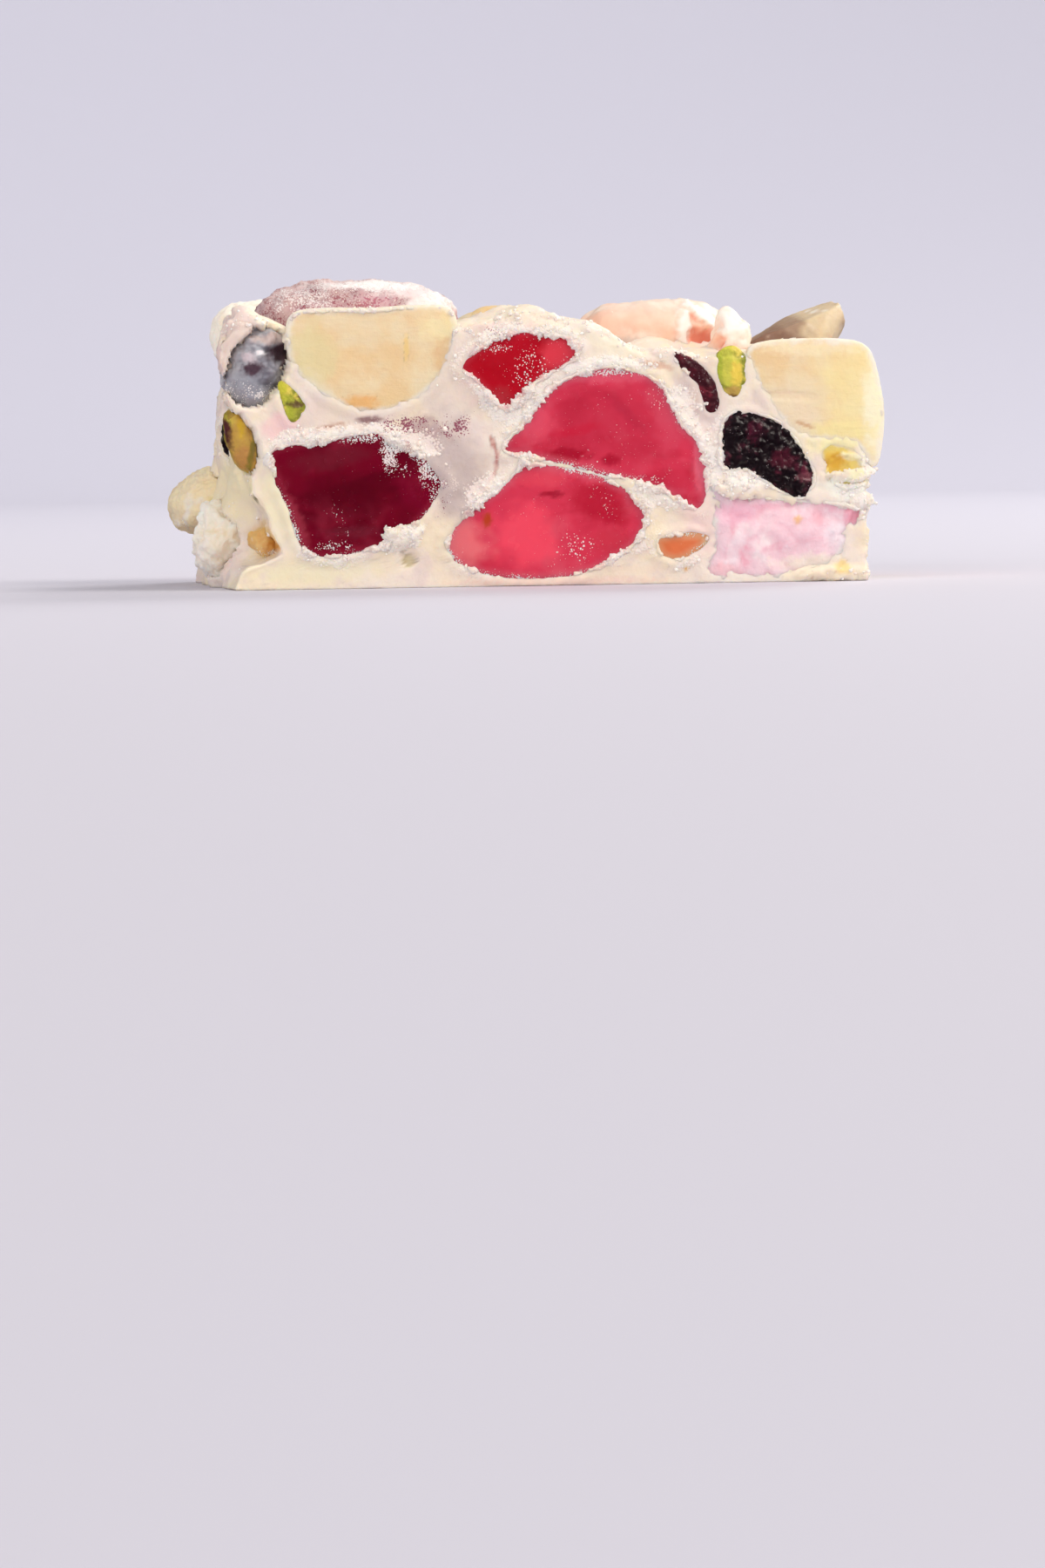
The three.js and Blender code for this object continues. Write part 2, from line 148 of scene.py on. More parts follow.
class Face(Enum):
    """A side of the slice that the knife cut: its outward way and its way to the right."""

    FRONT = ((0, -1, 0), (1, 0, 0))
    BACK = ((0, 1, 0), (-1, 0, 0))
    RIGHT = ((1, 0, 0), (0, 1, 0))

    @property
    def outward(self) -> Array:
        """The unit vector out of the slice."""
        return np.array(self.value[0], float)

    @property
    def across(self) -> Array:
        """The unit vector to the right, seen from outside."""
        return np.array(self.value[1], float)

    def flat(self, points: Array) -> Array:
        """Give points of space as right and up in this face, in millimetres."""
        return np.stack([points @ self.across, points[:, 2]], axis=1)

    def space(self, flat: Array, level: Array | float) -> Array:
        """Give points of space from right and up in this face and their level out of the slice."""
        return flat[..., :1] * self.across + flat[..., 1:] * UP + np.asarray(level)[..., None] * self.outward


def added(name: str, data: bpy.types.ID) -> bpy.types.Object:
    """Put a new object with some data into the scene."""
    made = bpy.data.objects.new(name, data)
    bpy.context.scene.collection.objects.link(made)
    return made


def plain(carrier: bpy.types.Object) -> bpy.types.Mesh:
    """Turn an object with its modifiers into a plain mesh, and remove the object."""
    view = bpy.context.evaluated_depsgraph_get()
    mesh = bpy.data.meshes.new_from_object(carrier.evaluated_get(view))
    bpy.data.objects.remove(carrier)
    return mesh


def shown(name: str, mesh: bpy.types.Mesh, material: bpy.types.Material, slot: str) -> bpy.types.Object:
    """Make a mesh in metres a piece that rides on the slice's one body.

    Args:
        name: The piece's name.
        mesh: Its mesh.
        material: What it is made of.
        slot: The record's material slot; not used.

    Returns:
        The piece.
    """
    mesh.name = name
    mesh.materials.clear()
    mesh.materials.append(material)
    piece = added(name, mesh)
    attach(piece, "root")
    LOG.info("%s: %d triangles", name, sum(len(face.vertices) - 2 for face in mesh.polygons))
    return piece


def quad_size(length: float, steps: int, coarsest: float) -> float:
    """Give the size of a form's quads in millimetres, from its length and how many steps go along it."""
    return float(np.clip(length / steps, FINEST, coarsest))


class FineMesh:
    """A mesh in millimetres, with its points and numbers as arrays."""

    def __init__(self, mesh: bpy.types.Mesh) -> None:
        """Wrap a mesh that holds millimetres."""
        self.mesh = mesh

    @classmethod
    def from_faces(cls, points: Array, faces: list) -> "FineMesh":
        """Make a mesh from points in millimetres and lists of their numbers."""
        mesh = bpy.data.meshes.new("fine")
        mesh.from_pydata(np.asarray(points, float).tolist(), [], faces)
        mesh.update()
        return cls(mesh)

    @classmethod
    def from_node(cls, node: str) -> "FineMesh":
        """Copy a node of the frame, with its loose triangles merged."""
        form = bmesh.new()
        form.from_mesh(frame["nodes"][node].data)
        bmesh.ops.remove_doubles(form, verts=form.verts, dist=TINY)
        bmesh.ops.scale(form, vec=(1 / MM,) * 3, verts=form.verts)
        mesh = bpy.data.meshes.new("fine")
        form.to_mesh(mesh)
        form.free()
        return cls(mesh)

    @property
    def points(self) -> Array:
        """The places of the vertices, in millimetres."""
        values = np.empty(len(self.mesh.vertices) * 3)
        self.mesh.vertices.foreach_get("co", values)
        return values.reshape(-1, 3)

    @points.setter
    def points(self, values: Array) -> None:
        """Move the vertices."""
        self.mesh.vertices.foreach_set("co", np.asarray(values, float).ravel())
        self.mesh.update()

    @property
    def normals(self) -> Array:
        """The outward way at each vertex."""
        values = np.empty(len(self.mesh.vertices) * 3)
        self.mesh.vertex_normals.foreach_get("vector", values)
        return values.reshape(-1, 3)

    def smooth(self, times: int, share: float = 0.5) -> None:
        """Draw each vertex towards the middle of its neighbours.

        Args:
            times: How often.
            share: How far each time, from 0 to 1.
        """
        ends = np.empty(len(self.mesh.edges) * 2, int)
        self.mesh.edges.foreach_get("vertices", ends)
        first, second = ends.reshape(-1, 2).T
        points = self.points
        count = len(points)
        near = np.bincount(first, minlength=count) + np.bincount(second, minlength=count)
        for _ in range(times):
            total = np.stack([np.bincount(first, points[second, axis], count)
                              + np.bincount(second, points[first, axis], count) for axis in range(3)], axis=1)
            points = points + share * (total / near[:, None] - points)
        self.points = points

    def modified(self, kind: str, **settings: object) -> "FineMesh":
        """Apply one modifier and give the result as a new mesh.

        Args:
            kind: The modifier's type.
            settings: Its properties.

        Returns:
            The changed mesh.
        """
        carrier = added("carrier", self.mesh)
        modifier = carrier.modifiers.new("form", kind)
        for name, value in settings.items():
            setattr(modifier, name, value)
        return FineMesh(plain(carrier))

    def remeshed(self, size: float) -> "FineMesh":
        """Cover the form again with even quads of one size in millimetres."""
        return self.modified("REMESH", mode="VOXEL", voxel_size=size, adaptivity=0.0)

    def number(self, name: str, values: Array) -> None:
        """Keep one number for each vertex under a name that shaders read."""
        kept = self.mesh.attributes.new(name, "FLOAT", "POINT")
        kept.data.foreach_set("value", np.asarray(values, np.float32))

    def paint(self, name: str, values: Array) -> None:
        """Keep one colour with its strength for each vertex under a name that shaders read."""
        kept = self.mesh.attributes.new(name, "FLOAT_COLOR", "POINT")
        kept.data.foreach_set("color", np.asarray(values, np.float32).ravel())

    def changed(self, change: Callable[[bmesh.types.BMesh], object]) -> None:
        """Change the mesh by one step of bmesh."""
        form = bmesh.new()
        form.from_mesh(self.mesh)
        change(form)
        form.to_mesh(self.mesh)
        form.free()

    def turned_outward(self) -> None:
        """Turn the faces of a closed form so that they all point out of it."""
        self.changed(lambda form: bmesh.ops.recalc_face_normals(form, faces=form.faces))

    def tree(self) -> BVHTree:
        """A search tree of the faces, in millimetres."""
        form = bmesh.new()
        form.from_mesh(self.mesh)
        found = BVHTree.FromBMesh(form)
        form.free()
        return found

    def placed(self, name: str, material: bpy.types.Material, slot: str, replaced: str | None) -> bpy.types.Object:
        """Turn the mesh into a finished piece of the slice.

        Args:
            name: The piece's name.
            material: What it is made of.
            slot: The record's material slot.
            replaced: The node of the frame that it stands for, if any.

        Returns:
            The piece, in metres, riding on the slice's one body.
        """
        self.mesh.transform(Matrix.Scale(MM, 4))
        self.mesh.polygons.foreach_set("use_smooth", [True] * len(self.mesh.polygons))
        piece = shown(name, self.mesh, material, slot)
        if replaced:
            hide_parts(replaced)
        return piece


def outline_distance(places: Array, outline: Array) -> Array:
    """Measure how far places lie outside a closed outline.

    Args:
        places: Points in the outline's plane, one a row.
        outline: The outline's points in order.

    Returns:
        Distances in millimetres, negative inside.
    """
    start, end = outline, np.roll(outline, -1, axis=0)
    along = end - start
    offset = places[:, None] - start
    share = np.clip((offset * along).sum(-1) / (along * along).sum(-1), 0, 1)
    gap = np.linalg.norm(offset - share[..., None] * along, axis=-1).min(axis=1)
    height = places[:, 1:2]
    spans = (start[:, 1] > height) != (end[:, 1] > height)
    rise = np.where(along[:, 1] == 0, TINY, along[:, 1])
    crossing = start[:, 0] + along[:, 0] * (height - start[:, 1]) / rise
    inside = (spans & (places[:, 0:1] < crossing)).sum(axis=1) % 2 == 1
    return np.where(inside, -gap, gap)


def closed_curve(corners: Array, steps: int) -> Array:
    """Draw a smooth closed line through points.

    Args:
        corners: The points in order.
        steps: How many points the line has between two of them.

    Returns:
        The line's points.
    """
    before, after, beyond = (np.roll(corners, shift, axis=0) for shift in (1, -1, -2))
    rows = []
    for share in np.linspace(0, 1, steps, endpoint=False):
        lean_in, lean_out = (after - before) * 0.5, (beyond - corners) * 0.5
        square, cube = share**2, share**3
        rows.append(
            corners * (2 * cube - 3 * square + 1)
            + lean_in * (cube - 2 * square + share)
            + after * (3 * square - 2 * cube)
            + lean_out * (cube - square)
        )
    return np.stack(rows, axis=1).reshape(-1, corners.shape[1])


def way_out(loop: Array, reach: int) -> Array:
    """Give the way out of a closed loop at each of its points.

    Args:
        loop: The points in order.
        reach: How many points away the loop's run is measured.

    Returns:
        A unit vector for each point.
    """
    along = np.roll(loop, -reach, axis=0) - np.roll(loop, reach, axis=0)
    x, z = loop.T
    turning = np.sign(np.sum(x * np.roll(z, -1) - z * np.roll(x, -1)))
    way = np.stack([along[:, 1], -along[:, 0]], axis=1) * turning
    for _ in range(4):
        way = (np.roll(way, 1, axis=0) + way + np.roll(way, -1, axis=0)) / 3
    return way / np.linalg.norm(way, axis=1, keepdims=True)


class Layer(Enum):
    """What a patch does where it lies."""

    PAINT = "gives the surface a colour"
    DUST = "lays fine white dust on it"
    GRAINS = "lays single grains of sugar on it"
    SPECKLE = "dots the chocolate with dark jelly"
    CRUMBLE = "makes the torn lips wider and rougher, or finer where its strength is below 0"
    COVER = "lets the chocolate lap over a cut piece"
    RAISE = "raises the surface by its strength in millimetres"

    def at(self, x: float, z: float, across: float, up: float, strength: float, turn: float = 0.0) -> "Patch":
        """Make a patch of this layer."""
        return Patch(x, z, across, up, (255, 255, 255), strength, turn, self)


@dataclass(frozen=True)
class Patch:
    """A soft ragged mark on the side that the photograph shows: its middle and half sizes, right and up, in mm."""

    x: float
    z: float
    across: float
    up: float
    colour: Colour
    strength: float = 0.8
    turn: float = 0.0
    layer: Layer = Layer.PAINT

    def cover(self, places: Array) -> Array:
        """Measure how much of each place the patch covers.

        Args:
            places: Right and up in the front face, in millimetres.

        Returns:
            Cover from 0 to the patch's strength.
        """
        turn = math.radians(self.turn)
        swing = np.array([[math.cos(turn), -math.sin(turn)], [math.sin(turn), math.cos(turn)]])
        reach = np.linalg.norm((places - (self.x, self.z)) @ swing / (self.across, self.up), axis=1)
        near = np.flatnonzero(reach < 2)
        spread = np.column_stack([places[near], np.full(len(near), self.x)])
        size = max(0.4, 0.8 * min(self.across, self.up))
        covered = np.zeros(len(places))
        covered[near] = self.strength * eased(reach[near] + 0.35 * NOISE.rough(spread, size, 3), 1.3, 0.5)
        return covered


class Marks:
    """The patches of one piece, read at its vertices."""

    def __init__(self, patches: list[Patch], places: Array, facing: Array | float = 1.0) -> None:
        """Measure each patch's cover at places in the front face, weaker where they face it less."""
        self.count = len(places)
        self.covers = [(patch, patch.cover(places) * facing) for patch in patches]

    def layer(self, layer: Layer) -> Array:
        """Give the strongest cover of one layer at each vertex."""
        found = np.zeros(self.count)
        for patch, cover in self.covers:
            if patch.layer is layer:
                found = np.where(np.abs(cover) > np.abs(found), cover, found)
        return found

    def tint(self) -> Array:
        """Lay the coloured patches over one another: red, green, blue and strength for each vertex."""
        tint = np.zeros((self.count, 4))
        for patch, cover in self.covers:
            if patch.layer is Layer.PAINT:
                lay(tint, cover, patch.colour)
        return tint


def lay(tint: Array, cover: Array, colour: Colour) -> None:
    """Lay a colour over the painted patches of a mesh.

    Args:
        tint: Red, green, blue and strength for each vertex, changed in place.
        cover: How much of each vertex the new colour covers.
        colour: The new colour.
    """
    over = cover[:, None] * np.array(linear(colour))
    under = tint[:, 3] * (1 - cover)
    total = cover + under
    mixed = (over[:, :3] + under[:, None] * tint[:, :3]) / np.maximum(total, TINY)[:, None]
    tint[:, :3] = np.where(total[:, None] > 0, mixed, 0)
    tint[:, 3] = total


class Value:
    """A number socket of a shader that Python's operators work on."""

    def __init__(self, shader: "Shader", socket: bpy.types.NodeSocket) -> None:
        """Wrap an output socket."""
        self.shader = shader
        self.socket = socket

    def math(self, operation: str, *others: "Value | float") -> "Value":
        """Add one Math node whose first input is this number."""
        return self.shader.math(operation, self, *others)

    def __add__(self, other: "Value | float") -> "Value":
        """Add."""
        return self.math("ADD", other)

    __radd__ = __add__

    def __mul__(self, other: "Value | float") -> "Value":
        """Multiply."""
        return self.math("MULTIPLY", other)

    __rmul__ = __mul__

    def __sub__(self, other: "Value | float") -> "Value":
        """Take away."""
        return self.math("SUBTRACT", other)

    def __rsub__(self, other: float) -> "Value":
        """Take this number away from another."""
        return self.shader.math("SUBTRACT", other, self)

    def step(self, low: float, high: float) -> "Value":
        """Rise smoothly from 0 at low to 1 at high, or fall where high is the smaller."""
        if low > high:
            return 1 - self.step(high, low)
        found = self.shader.node("ShaderNodeMapRange", {"interpolation_type": "SMOOTHSTEP"},
                                 {"Value": self, "From Min": low, "From Max": high})
        return Value(self.shader, found.outputs["Result"])


class Graph:
    """A tree of shader or geometry nodes."""

    def __init__(self, tree: bpy.types.NodeTree) -> None:
        """Wrap a node tree."""
        self.nodes = tree.nodes
        self.links = tree.links

    def node(self, kind: str, settings: dict | None = None, inputs: dict | None = None) -> bpy.types.Node:
        """Add a node.

        Args:
            kind: The node's type.
            settings: Properties that are set first.
            inputs: Values or links of its sockets, by name or number.

        Returns:
            The node.
        """
        made = self.nodes.new(kind)
        for name, value in (settings or {}).items():
            setattr(made, name, value)
        for name, value in (inputs or {}).items():
            value = value.socket if isinstance(value, Value) else value
            if isinstance(value, bpy.types.NodeSocket):
                self.links.new(value, made.inputs[name])
            else:
                made.inputs[name].default_value = value
        return made


class Shader(Graph):
    """A material whose nodes are written as Python expressions."""

    def __init__(self, name: str) -> None:
        """Start a material with only its output."""
        self.material = bpy.data.materials.new(name)
        self.material.use_nodes = True
        super().__init__(self.material.node_tree)
        self.nodes.clear()
        self.output = self.nodes.new("ShaderNodeOutputMaterial")
        self.place = self.node("ShaderNodeTexCoord").outputs["Object"]

    def math(self, operation: str, *inputs: "Value | float") -> Value:
        """Add a Math node and give its result."""
        return Value(self, self.node("ShaderNodeMath", {"operation": operation}, dict(enumerate(inputs))).outputs[0])

    def mix(self, factor: "Value | float", first: object, second: object) -> bpy.types.NodeSocket:
        """Mix two colours, each a link or a screen colour."""
        first, second = (linear(side) if isinstance(side, tuple) else side for side in (first, second))
        return self.node("ShaderNodeMix", {"data_type": "RGBA"}, {0: factor, 6: first, 7: second}).outputs[2]

    def number(self, name: str) -> Value:
        """Read a number that the mesh keeps for each vertex."""
        return Value(self, self.node("ShaderNodeAttribute", {"attribute_name": name}).outputs["Fac"])

    def tinted(self, colour: object) -> bpy.types.NodeSocket:
        """Lay the mesh's painted patches over a colour."""
        paint = self.node("ShaderNodeAttribute", {"attribute_name": "tint"})
        return self.mix(Value(self, paint.outputs["Alpha"]), colour, paint.outputs["Color"])

    def coordinates(self, size: float, stretch: Triple, offset: float) -> bpy.types.NodeSocket:
        """Scale Object coordinates so that one unit is a size in millimetres, longer where stretched."""
        scale = tuple(1 / (size * MM * part) for part in stretch)
        return self.node("ShaderNodeVectorMath", {"operation": "MULTIPLY_ADD"},
                         {0: self.place, 1: scale, 2: (offset, offset * 0.7, offset * 1.3)}).outputs[0]

    def noise(self, size: float, detail: float = 3.0, offset: float = 0.0, stretch: Triple = (1, 1, 1),
              twist: float = 0.0) -> Value:
        """Add noise from 0 to 1.

        Args:
            size: How large its lumps are, in millimetres.
            detail: How many finer layers it has.
            offset: Moves it, so that two noises differ.
            stretch: How much longer its lumps are along each axis.
            twist: How much it is distorted.

        Returns:
            The noise's number.
        """
        made = self.node("ShaderNodeTexNoise", None, {
            "Vector": self.coordinates(size, stretch, offset),
            "Scale": 1.0, "Detail": detail, "Roughness": 0.55, "Distortion": twist,
        })
        return Value(self, made.outputs["Fac"])

    def cells(self, size: float, offset: float = 0.0) -> Value:
        """Add the distance from the middle of the nearest of many random cells of a size in millimetres."""
        made = self.node("ShaderNodeTexVoronoi", None,
                         {"Vector": self.coordinates(size, (1, 1, 1), offset), "Scale": 1.0})
        return Value(self, made.outputs["Distance"])

    def sugared(self, cell: float = 0.2, reach: float = 0.55, soft: float = 0.06) -> Value:
        """Find where fine white dust lies, in grains some millimetres apart with soft borders."""
        dust = self.number("dust") * (0.3 + self.noise(0.7, 3, 12.0) * reach)
        return (dust - self.cells(cell, 5.0) * 0.62).step(0.0, soft)

    def melted(self, edge: Value, reach: float) -> Value:
        """Find where chocolate has run over a cut face's edge."""
        return (edge + self.noise(1.5, 3, 37.0) * reach - 1.05).step(0.0, 0.4)

    def bump(self, height: Value, reach: float, strength: float = 1.0) -> bpy.types.NodeSocket:
        """Turn a height from 0 to 1, which stands some millimetres high, into a normal."""
        made = self.node("ShaderNodeBump", None, {"Height": height, "Distance": reach * MM, "Strength": strength})
        return made.outputs["Normal"]

    def surface(self, colour: object, roughness: "Value | float", normal: bpy.types.NodeSocket | None = None,
                glow: tuple[float, Triple, float] | None = None, **more: float) -> bpy.types.Material:
        """Close the material with one Principled shader.

        Args:
            colour: Its base colour.
            roughness: Its roughness.
            normal: The normal of its bump, if any.
            glow: Its subsurface weight, radius and scale in millimetres, if any.
            more: Further sockets, with underscores for the spaces in their names.

        Returns:
            The finished material.
        """
        inputs = {"Base Color": colour, "Roughness": roughness}
        if normal:
            inputs["Normal"] = normal
        if glow:
            inputs |= {"Subsurface Weight": glow[0], "Subsurface Radius": glow[1], "Subsurface Scale": glow[2] * MM}
        inputs |= {name.replace("_", " "): value for name, value in more.items()}
        made = self.node("ShaderNodeBsdfPrincipled", {"subsurface_method": "RANDOM_WALK"}, inputs)
        self.links.new(made.outputs["BSDF"], self.output.inputs["Surface"])
        return self.material


@dataclass(frozen=True)
class ChocolateFinish:
    """Cream-coloured white chocolate: satin, a little translucent, frosty where the knife crumbled it."""

    name: str = "white_chocolate"
    cream: Colour = (244, 231, 218)
    warm: Colour = (246, 231, 206)
    grey: Colour = (232, 216, 210)
    frost: Colour = (255, 243, 234)
    speck: Colour = (148, 62, 92)

    def material(self) -> bpy.types.Material:
        """Build the material."""
        shader = Shader(self.name)
        dust = shader.number("dust")
        fine = shader.noise(0.55, 4, 5.0)
        grain = shader.cells(0.24, 9.0)
        colour = shader.mix(shader.noise(7.0, 3, 2.0).step(0.42, 0.62), self.cream, self.warm)
        colour = shader.mix(shader.noise(3.4, 4, 17.0).step(0.5, 0.66) * 0.7, colour, self.grey)
        colour = shader.tinted(colour)
        frosted = (dust * (0.35 + fine) - grain * 0.5).step(0.0, 0.25)
        colour = shader.mix(frosted * 0.75, colour, self.frost)
        scatter = shader.number("speckle") * (shader.noise(1.1, 3, 14.0) * 0.75 - 0.07)
        specks = (scatter - shader.cells(0.19, 4.0) * 0.55).step(0.0, 0.1)
        colour = shader.mix(specks * 0.9, colour, self.speck)
        height = fine * 0.5 + frosted * 0.2 + (1 - grain) * 0.4 * dust + shader.noise(2.2, 3, 21.0) * 0.5
        return shader.surface(colour, 0.42 + dust * 0.3, shader.bump(height, 0.16, 0.8),
                              (0.6, (1.0, 0.76, 0.52), 0.45), IOR=1.45, Specular_IOR_Level=0.35)


@dataclass(frozen=True)
class JellyFinish:
    """A clear jelly sweet, cut: clouds of deeper colour, paler at its edge, glossy, with sugar dust."""

    name: str
    core: Colour
    edge: Colour
    deep: Colour
    dusted: float = 0.3
    sugar: Colour = (252, 240, 238)

    def material(self) -> bpy.types.Material:
        """Build the material."""
        shader = Shader(self.name)
        edge = shader.number("edge")
        clouds = shader.noise(6.5, 3, 3.0, (1.6, 1, 0.75), 0.9)
        colour = shader.mix(clouds.step(0.46, 0.68) * 0.7, self.core, self.deep)
        colour = shader.mix(shader.noise(3.2, 2, 8.0).step(0.5, 0.75) * 0.35, colour, self.edge)
        colour = shader.mix(edge.step(0.45, 1.0) * 0.45, shader.tinted(colour), self.edge)
        white = shader.sugared(0.17, soft=0.05)
        grains = (shader.number("grains") + self.dusted) * (shader.noise(1.6, 3, 30.0) * 0.4 - 0.1)
        for size, reach in ((0.46, 0.6), (0.27, 0.5)):
            rough_cells = shader.cells(size, 4.0 + size) * reach + shader.noise(0.12, 2, 33.0) * 0.1 - 0.05
            white = white.math("MAXIMUM", (grains - rough_cells).step(0.0, 0.03))
        height = shader.noise(1.8, 2, 40.0) * 0.3 + white * 0.6 + shader.noise(0.4, 2, 44.0) * 0.05
        return shader.surface(shader.mix(white * 0.88, colour, self.sugar),
                              0.2 + white * 0.5 + shader.noise(2.0, 2, 50.0) * 0.12, shader.bump(height, 0.12, 0.9),
                              (0.6, (1.0, 0.2, 0.25), 2.6), Coat_Weight=0.12, Coat_Roughness=0.1,
                              Specular_IOR_Level=0.3)


@dataclass(frozen=True)
class NutFinish:
    """Nut flesh with a faint fibre, tinged darker where its skin was."""

    name: str
    flesh: Colour
    warm: Colour
    skin: Colour
    fibre: Triple = (4.0, 1.0, 0.6)
    chocolate: Colour = (246, 236, 220)
    sugar: Colour = (253, 248, 240)

    def material(self) -> bpy.types.Material:
        """Build the material."""
        shader = Shader(self.name)
        edge = shader.number("edge")
        fibre = shader.noise(0.7, 3, 3.0, self.fibre)
        broad = shader.noise(4.5, 3, 6.0)
        colour = shader.mix(broad.step(0.4, 0.65), self.flesh, self.warm)
        colour = shader.mix(fibre.step(0.5, 0.75) * 0.3, colour, self.warm)
        rind = edge.step(0.7, 1.0) * shader.noise(1.2, 2, 9.0).step(0.52, 0.7)
        colour = shader.tinted(shader.mix(rind * 0.35, colour, self.skin))
        colour = shader.mix(shader.melted(edge, 0.7), colour, self.chocolate)
        white = shader.sugared()
        height = fibre * 0.4 + shader.noise(0.35, 4, 15.0) * 0.5 + white * 0.5
        return shader.surface(shader.mix(white * 0.8, colour, self.sugar), 0.42 + broad * 0.15 + white * 0.2,
                              shader.bump(height, 0.14, 0.8), (0.4, (1.0, 0.75, 0.4), 1.6),
                              Coat_Weight=0.06, Coat_Roughness=0.3, Specular_IOR_Level=0.4)


@dataclass(frozen=True)
class PistachioFinish:
    """A pistachio kernel: yellow-green flesh, olive at its edge, with dark skin in patches."""

    name: str = "pistachio_kernel"
    green: Colour = (198, 198, 62)
    yellow: Colour = (234, 212, 92)
    olive: Colour = (140, 144, 44)
    skin: Colour = (104, 56, 44)

    def material(self) -> bpy.types.Material:
        """Build the material."""
        shader = Shader(self.name)
        edge = shader.number("edge")
        colour = shader.mix(shader.noise(1.5, 3, 2.0).step(0.42, 0.6), self.green, self.yellow)
        colour = shader.mix(edge.step(0.3, 0.95) * shader.noise(0.9, 3, 5.0).step(0.42, 0.6), colour, self.olive)
        patch = shader.noise(1.6, 3, 7.0).step(0.56, 0.64) * (0.25 + edge * 0.6)
        colour = shader.tinted(shader.mix(patch, colour, self.skin))
        height = shader.noise(0.5, 4, 12.0) + shader.noise(1.4, 2, 17.0) * 0.6
        return shader.surface(colour, 0.36 + shader.noise(0.8, 2, 22.0) * 0.2, shader.bump(height, 0.2, 0.9),
                              (0.2, (0.9, 1.0, 0.3), 0.7), Coat_Weight=0.12, Coat_Roughness=0.25,
                              Specular_IOR_Level=0.4)


@dataclass(frozen=True)
class DriedFruitFinish:
    """Wrinkled dried fruit: nearly black skin, darker in its creases as painted shade, red where light comes through,
    glossy with fine sugar and painted glints.
    """

    name: str
    dark: Colour
    red: Colour
    sugar: Colour = (238, 222, 226)

    def material(self) -> bpy.types.Material:
        """Build the material."""
        shader = Shader(self.name)
        crease = shader.number("crease")
        colour = shader.mix(shader.noise(1.6, 3, 2.0).step(0.5, 0.7), self.dark, self.red)
        # painted shade: darker down in the creases of the relief
        colour = shader.tinted(shader.mix(crease.step(0.7, 0.1) * 0.8, colour, self.dark))
        # painted highlights: small white glints, mixed with the sugar
        glint = shader.cells(0.3, 3.0).step(0.17, 0.08) * shader.noise(1.8, 2, 8.0).step(0.5, 0.62)
        white = glint.math("MAXIMUM", shader.sugared(reach=0.4))
        height = shader.noise(0.4, 4, 12.0) * 0.6 + shader.noise(0.9, 3, 26.0, (2.4, 1, 0.8)) * 0.6 + white * 0.4
        return shader.surface(shader.mix(white * 0.75, colour, self.sugar), 0.26 + shader.noise(0.7, 2, 16.0) * 0.3,
                              shader.bump(height, 0.2, 1.0), (0.1, (1.0, 0.2, 0.2), 0.6),
                              Coat_Weight=0.25, Coat_Roughness=0.2)


@dataclass(frozen=True)
class MarshmallowFinish:
    """Marshmallow foam, matt and soft, with deeper folds of colour."""

    name: str
    foam: Colour
    fold: Colour
    pale: Colour
    chocolate: Colour = (251, 240, 230)
    sugar: Colour = (254, 247, 245)

    def material(self) -> bpy.types.Material:
        """Build the material."""
        shader = Shader(self.name)
        edge = shader.number("edge")
        swirl = shader.noise(4.2, 3, 4.0, (1.3, 1, 0.9), 1.4)
        colour = shader.mix(swirl.step(0.5, 0.68) * 0.7, self.foam, self.fold)
        colour = shader.mix(shader.noise(2.6, 3, 9.0).step(0.5, 0.7) * 0.7, colour, self.pale)
        rim = edge.step(0.55, 1.0) * shader.noise(1.6, 2, 11.0).step(0.4, 0.6)
        colour = shader.tinted(shader.mix(rim * 0.55, colour, self.pale))
        colour = shader.mix(shader.melted(edge, 0.9) * 0.85, colour, self.chocolate)
        colour = shader.mix(shader.sugared() * 0.7, colour, self.sugar)
        height = shader.noise(0.3, 4, 15.0) * 0.6 + (1 - shader.cells(0.5, 31.0)) * 0.4
        height = height + shader.noise(1.3, 2, 19.0) * 0.5
        return shader.surface(colour, 0.75, shader.bump(height, 0.14, 0.8), (0.6, (1.0, 0.7, 0.7), 2.0),
                              Specular_IOR_Level=0.2)


@dataclass(frozen=True)
class FilmedFinish:
    """A sweet, nut or berry under a poured film of white chocolate that is thin in places."""

    name: str
    under: Colour
    deep: Colour
    film: Colour
    frost: float = 0.0
    veil: float = 0.0
    rough: float = 0.4
    sugar: Colour = (254, 247, 245)

    def material(self) -> bpy.types.Material:
        """Build the material."""
        shader = Shader(self.name)
        colour = shader.mix(shader.noise(3.0, 3, 3.0).step(0.42, 0.62), self.under, self.deep)
        cover = shader.number("film") + self.veil + shader.noise(2.4, 4, 8.0) * 0.6 - 0.3
        colour = shader.tinted(shader.mix(cover.step(0.2, 0.75) * 0.92, colour, self.film))
        grains = (shader.noise(1.6, 3, 28.0) * 0.8 - shader.cells(0.22, 12.0) * 0.55).step(0.0, 0.1) * self.frost
        white = shader.sugared().math("MAXIMUM", grains)
        height = shader.noise(0.4, 3, 15.0) * 0.3 + white * 0.6 + shader.noise(1.5, 2, 18.0) * 0.4
        return shader.surface(shader.mix(white * 0.75, colour, self.sugar), self.rough + white * 0.3,
                              shader.bump(height, 0.14, 0.8), (0.45, (1.0, 0.65, 0.6), 1.6), Specular_IOR_Level=0.2)


@dataclass(frozen=True)
class CrumbFinish:
    """Loose crumbs of white chocolate and grains of sugar."""

    name: str
    colour: Colour
    other: Colour

    def material(self) -> bpy.types.Material:
        """Build the material."""
        shader = Shader(self.name)
        colour = shader.mix(shader.noise(0.9, 2, 3.0).step(0.45, 0.6), self.colour, self.other)
        return shader.surface(colour, 0.4, shader.bump(shader.noise(0.12, 2, 6.0), 0.03, 0.6),
                              (0.4, (1.0, 0.85, 0.7), 0.06))


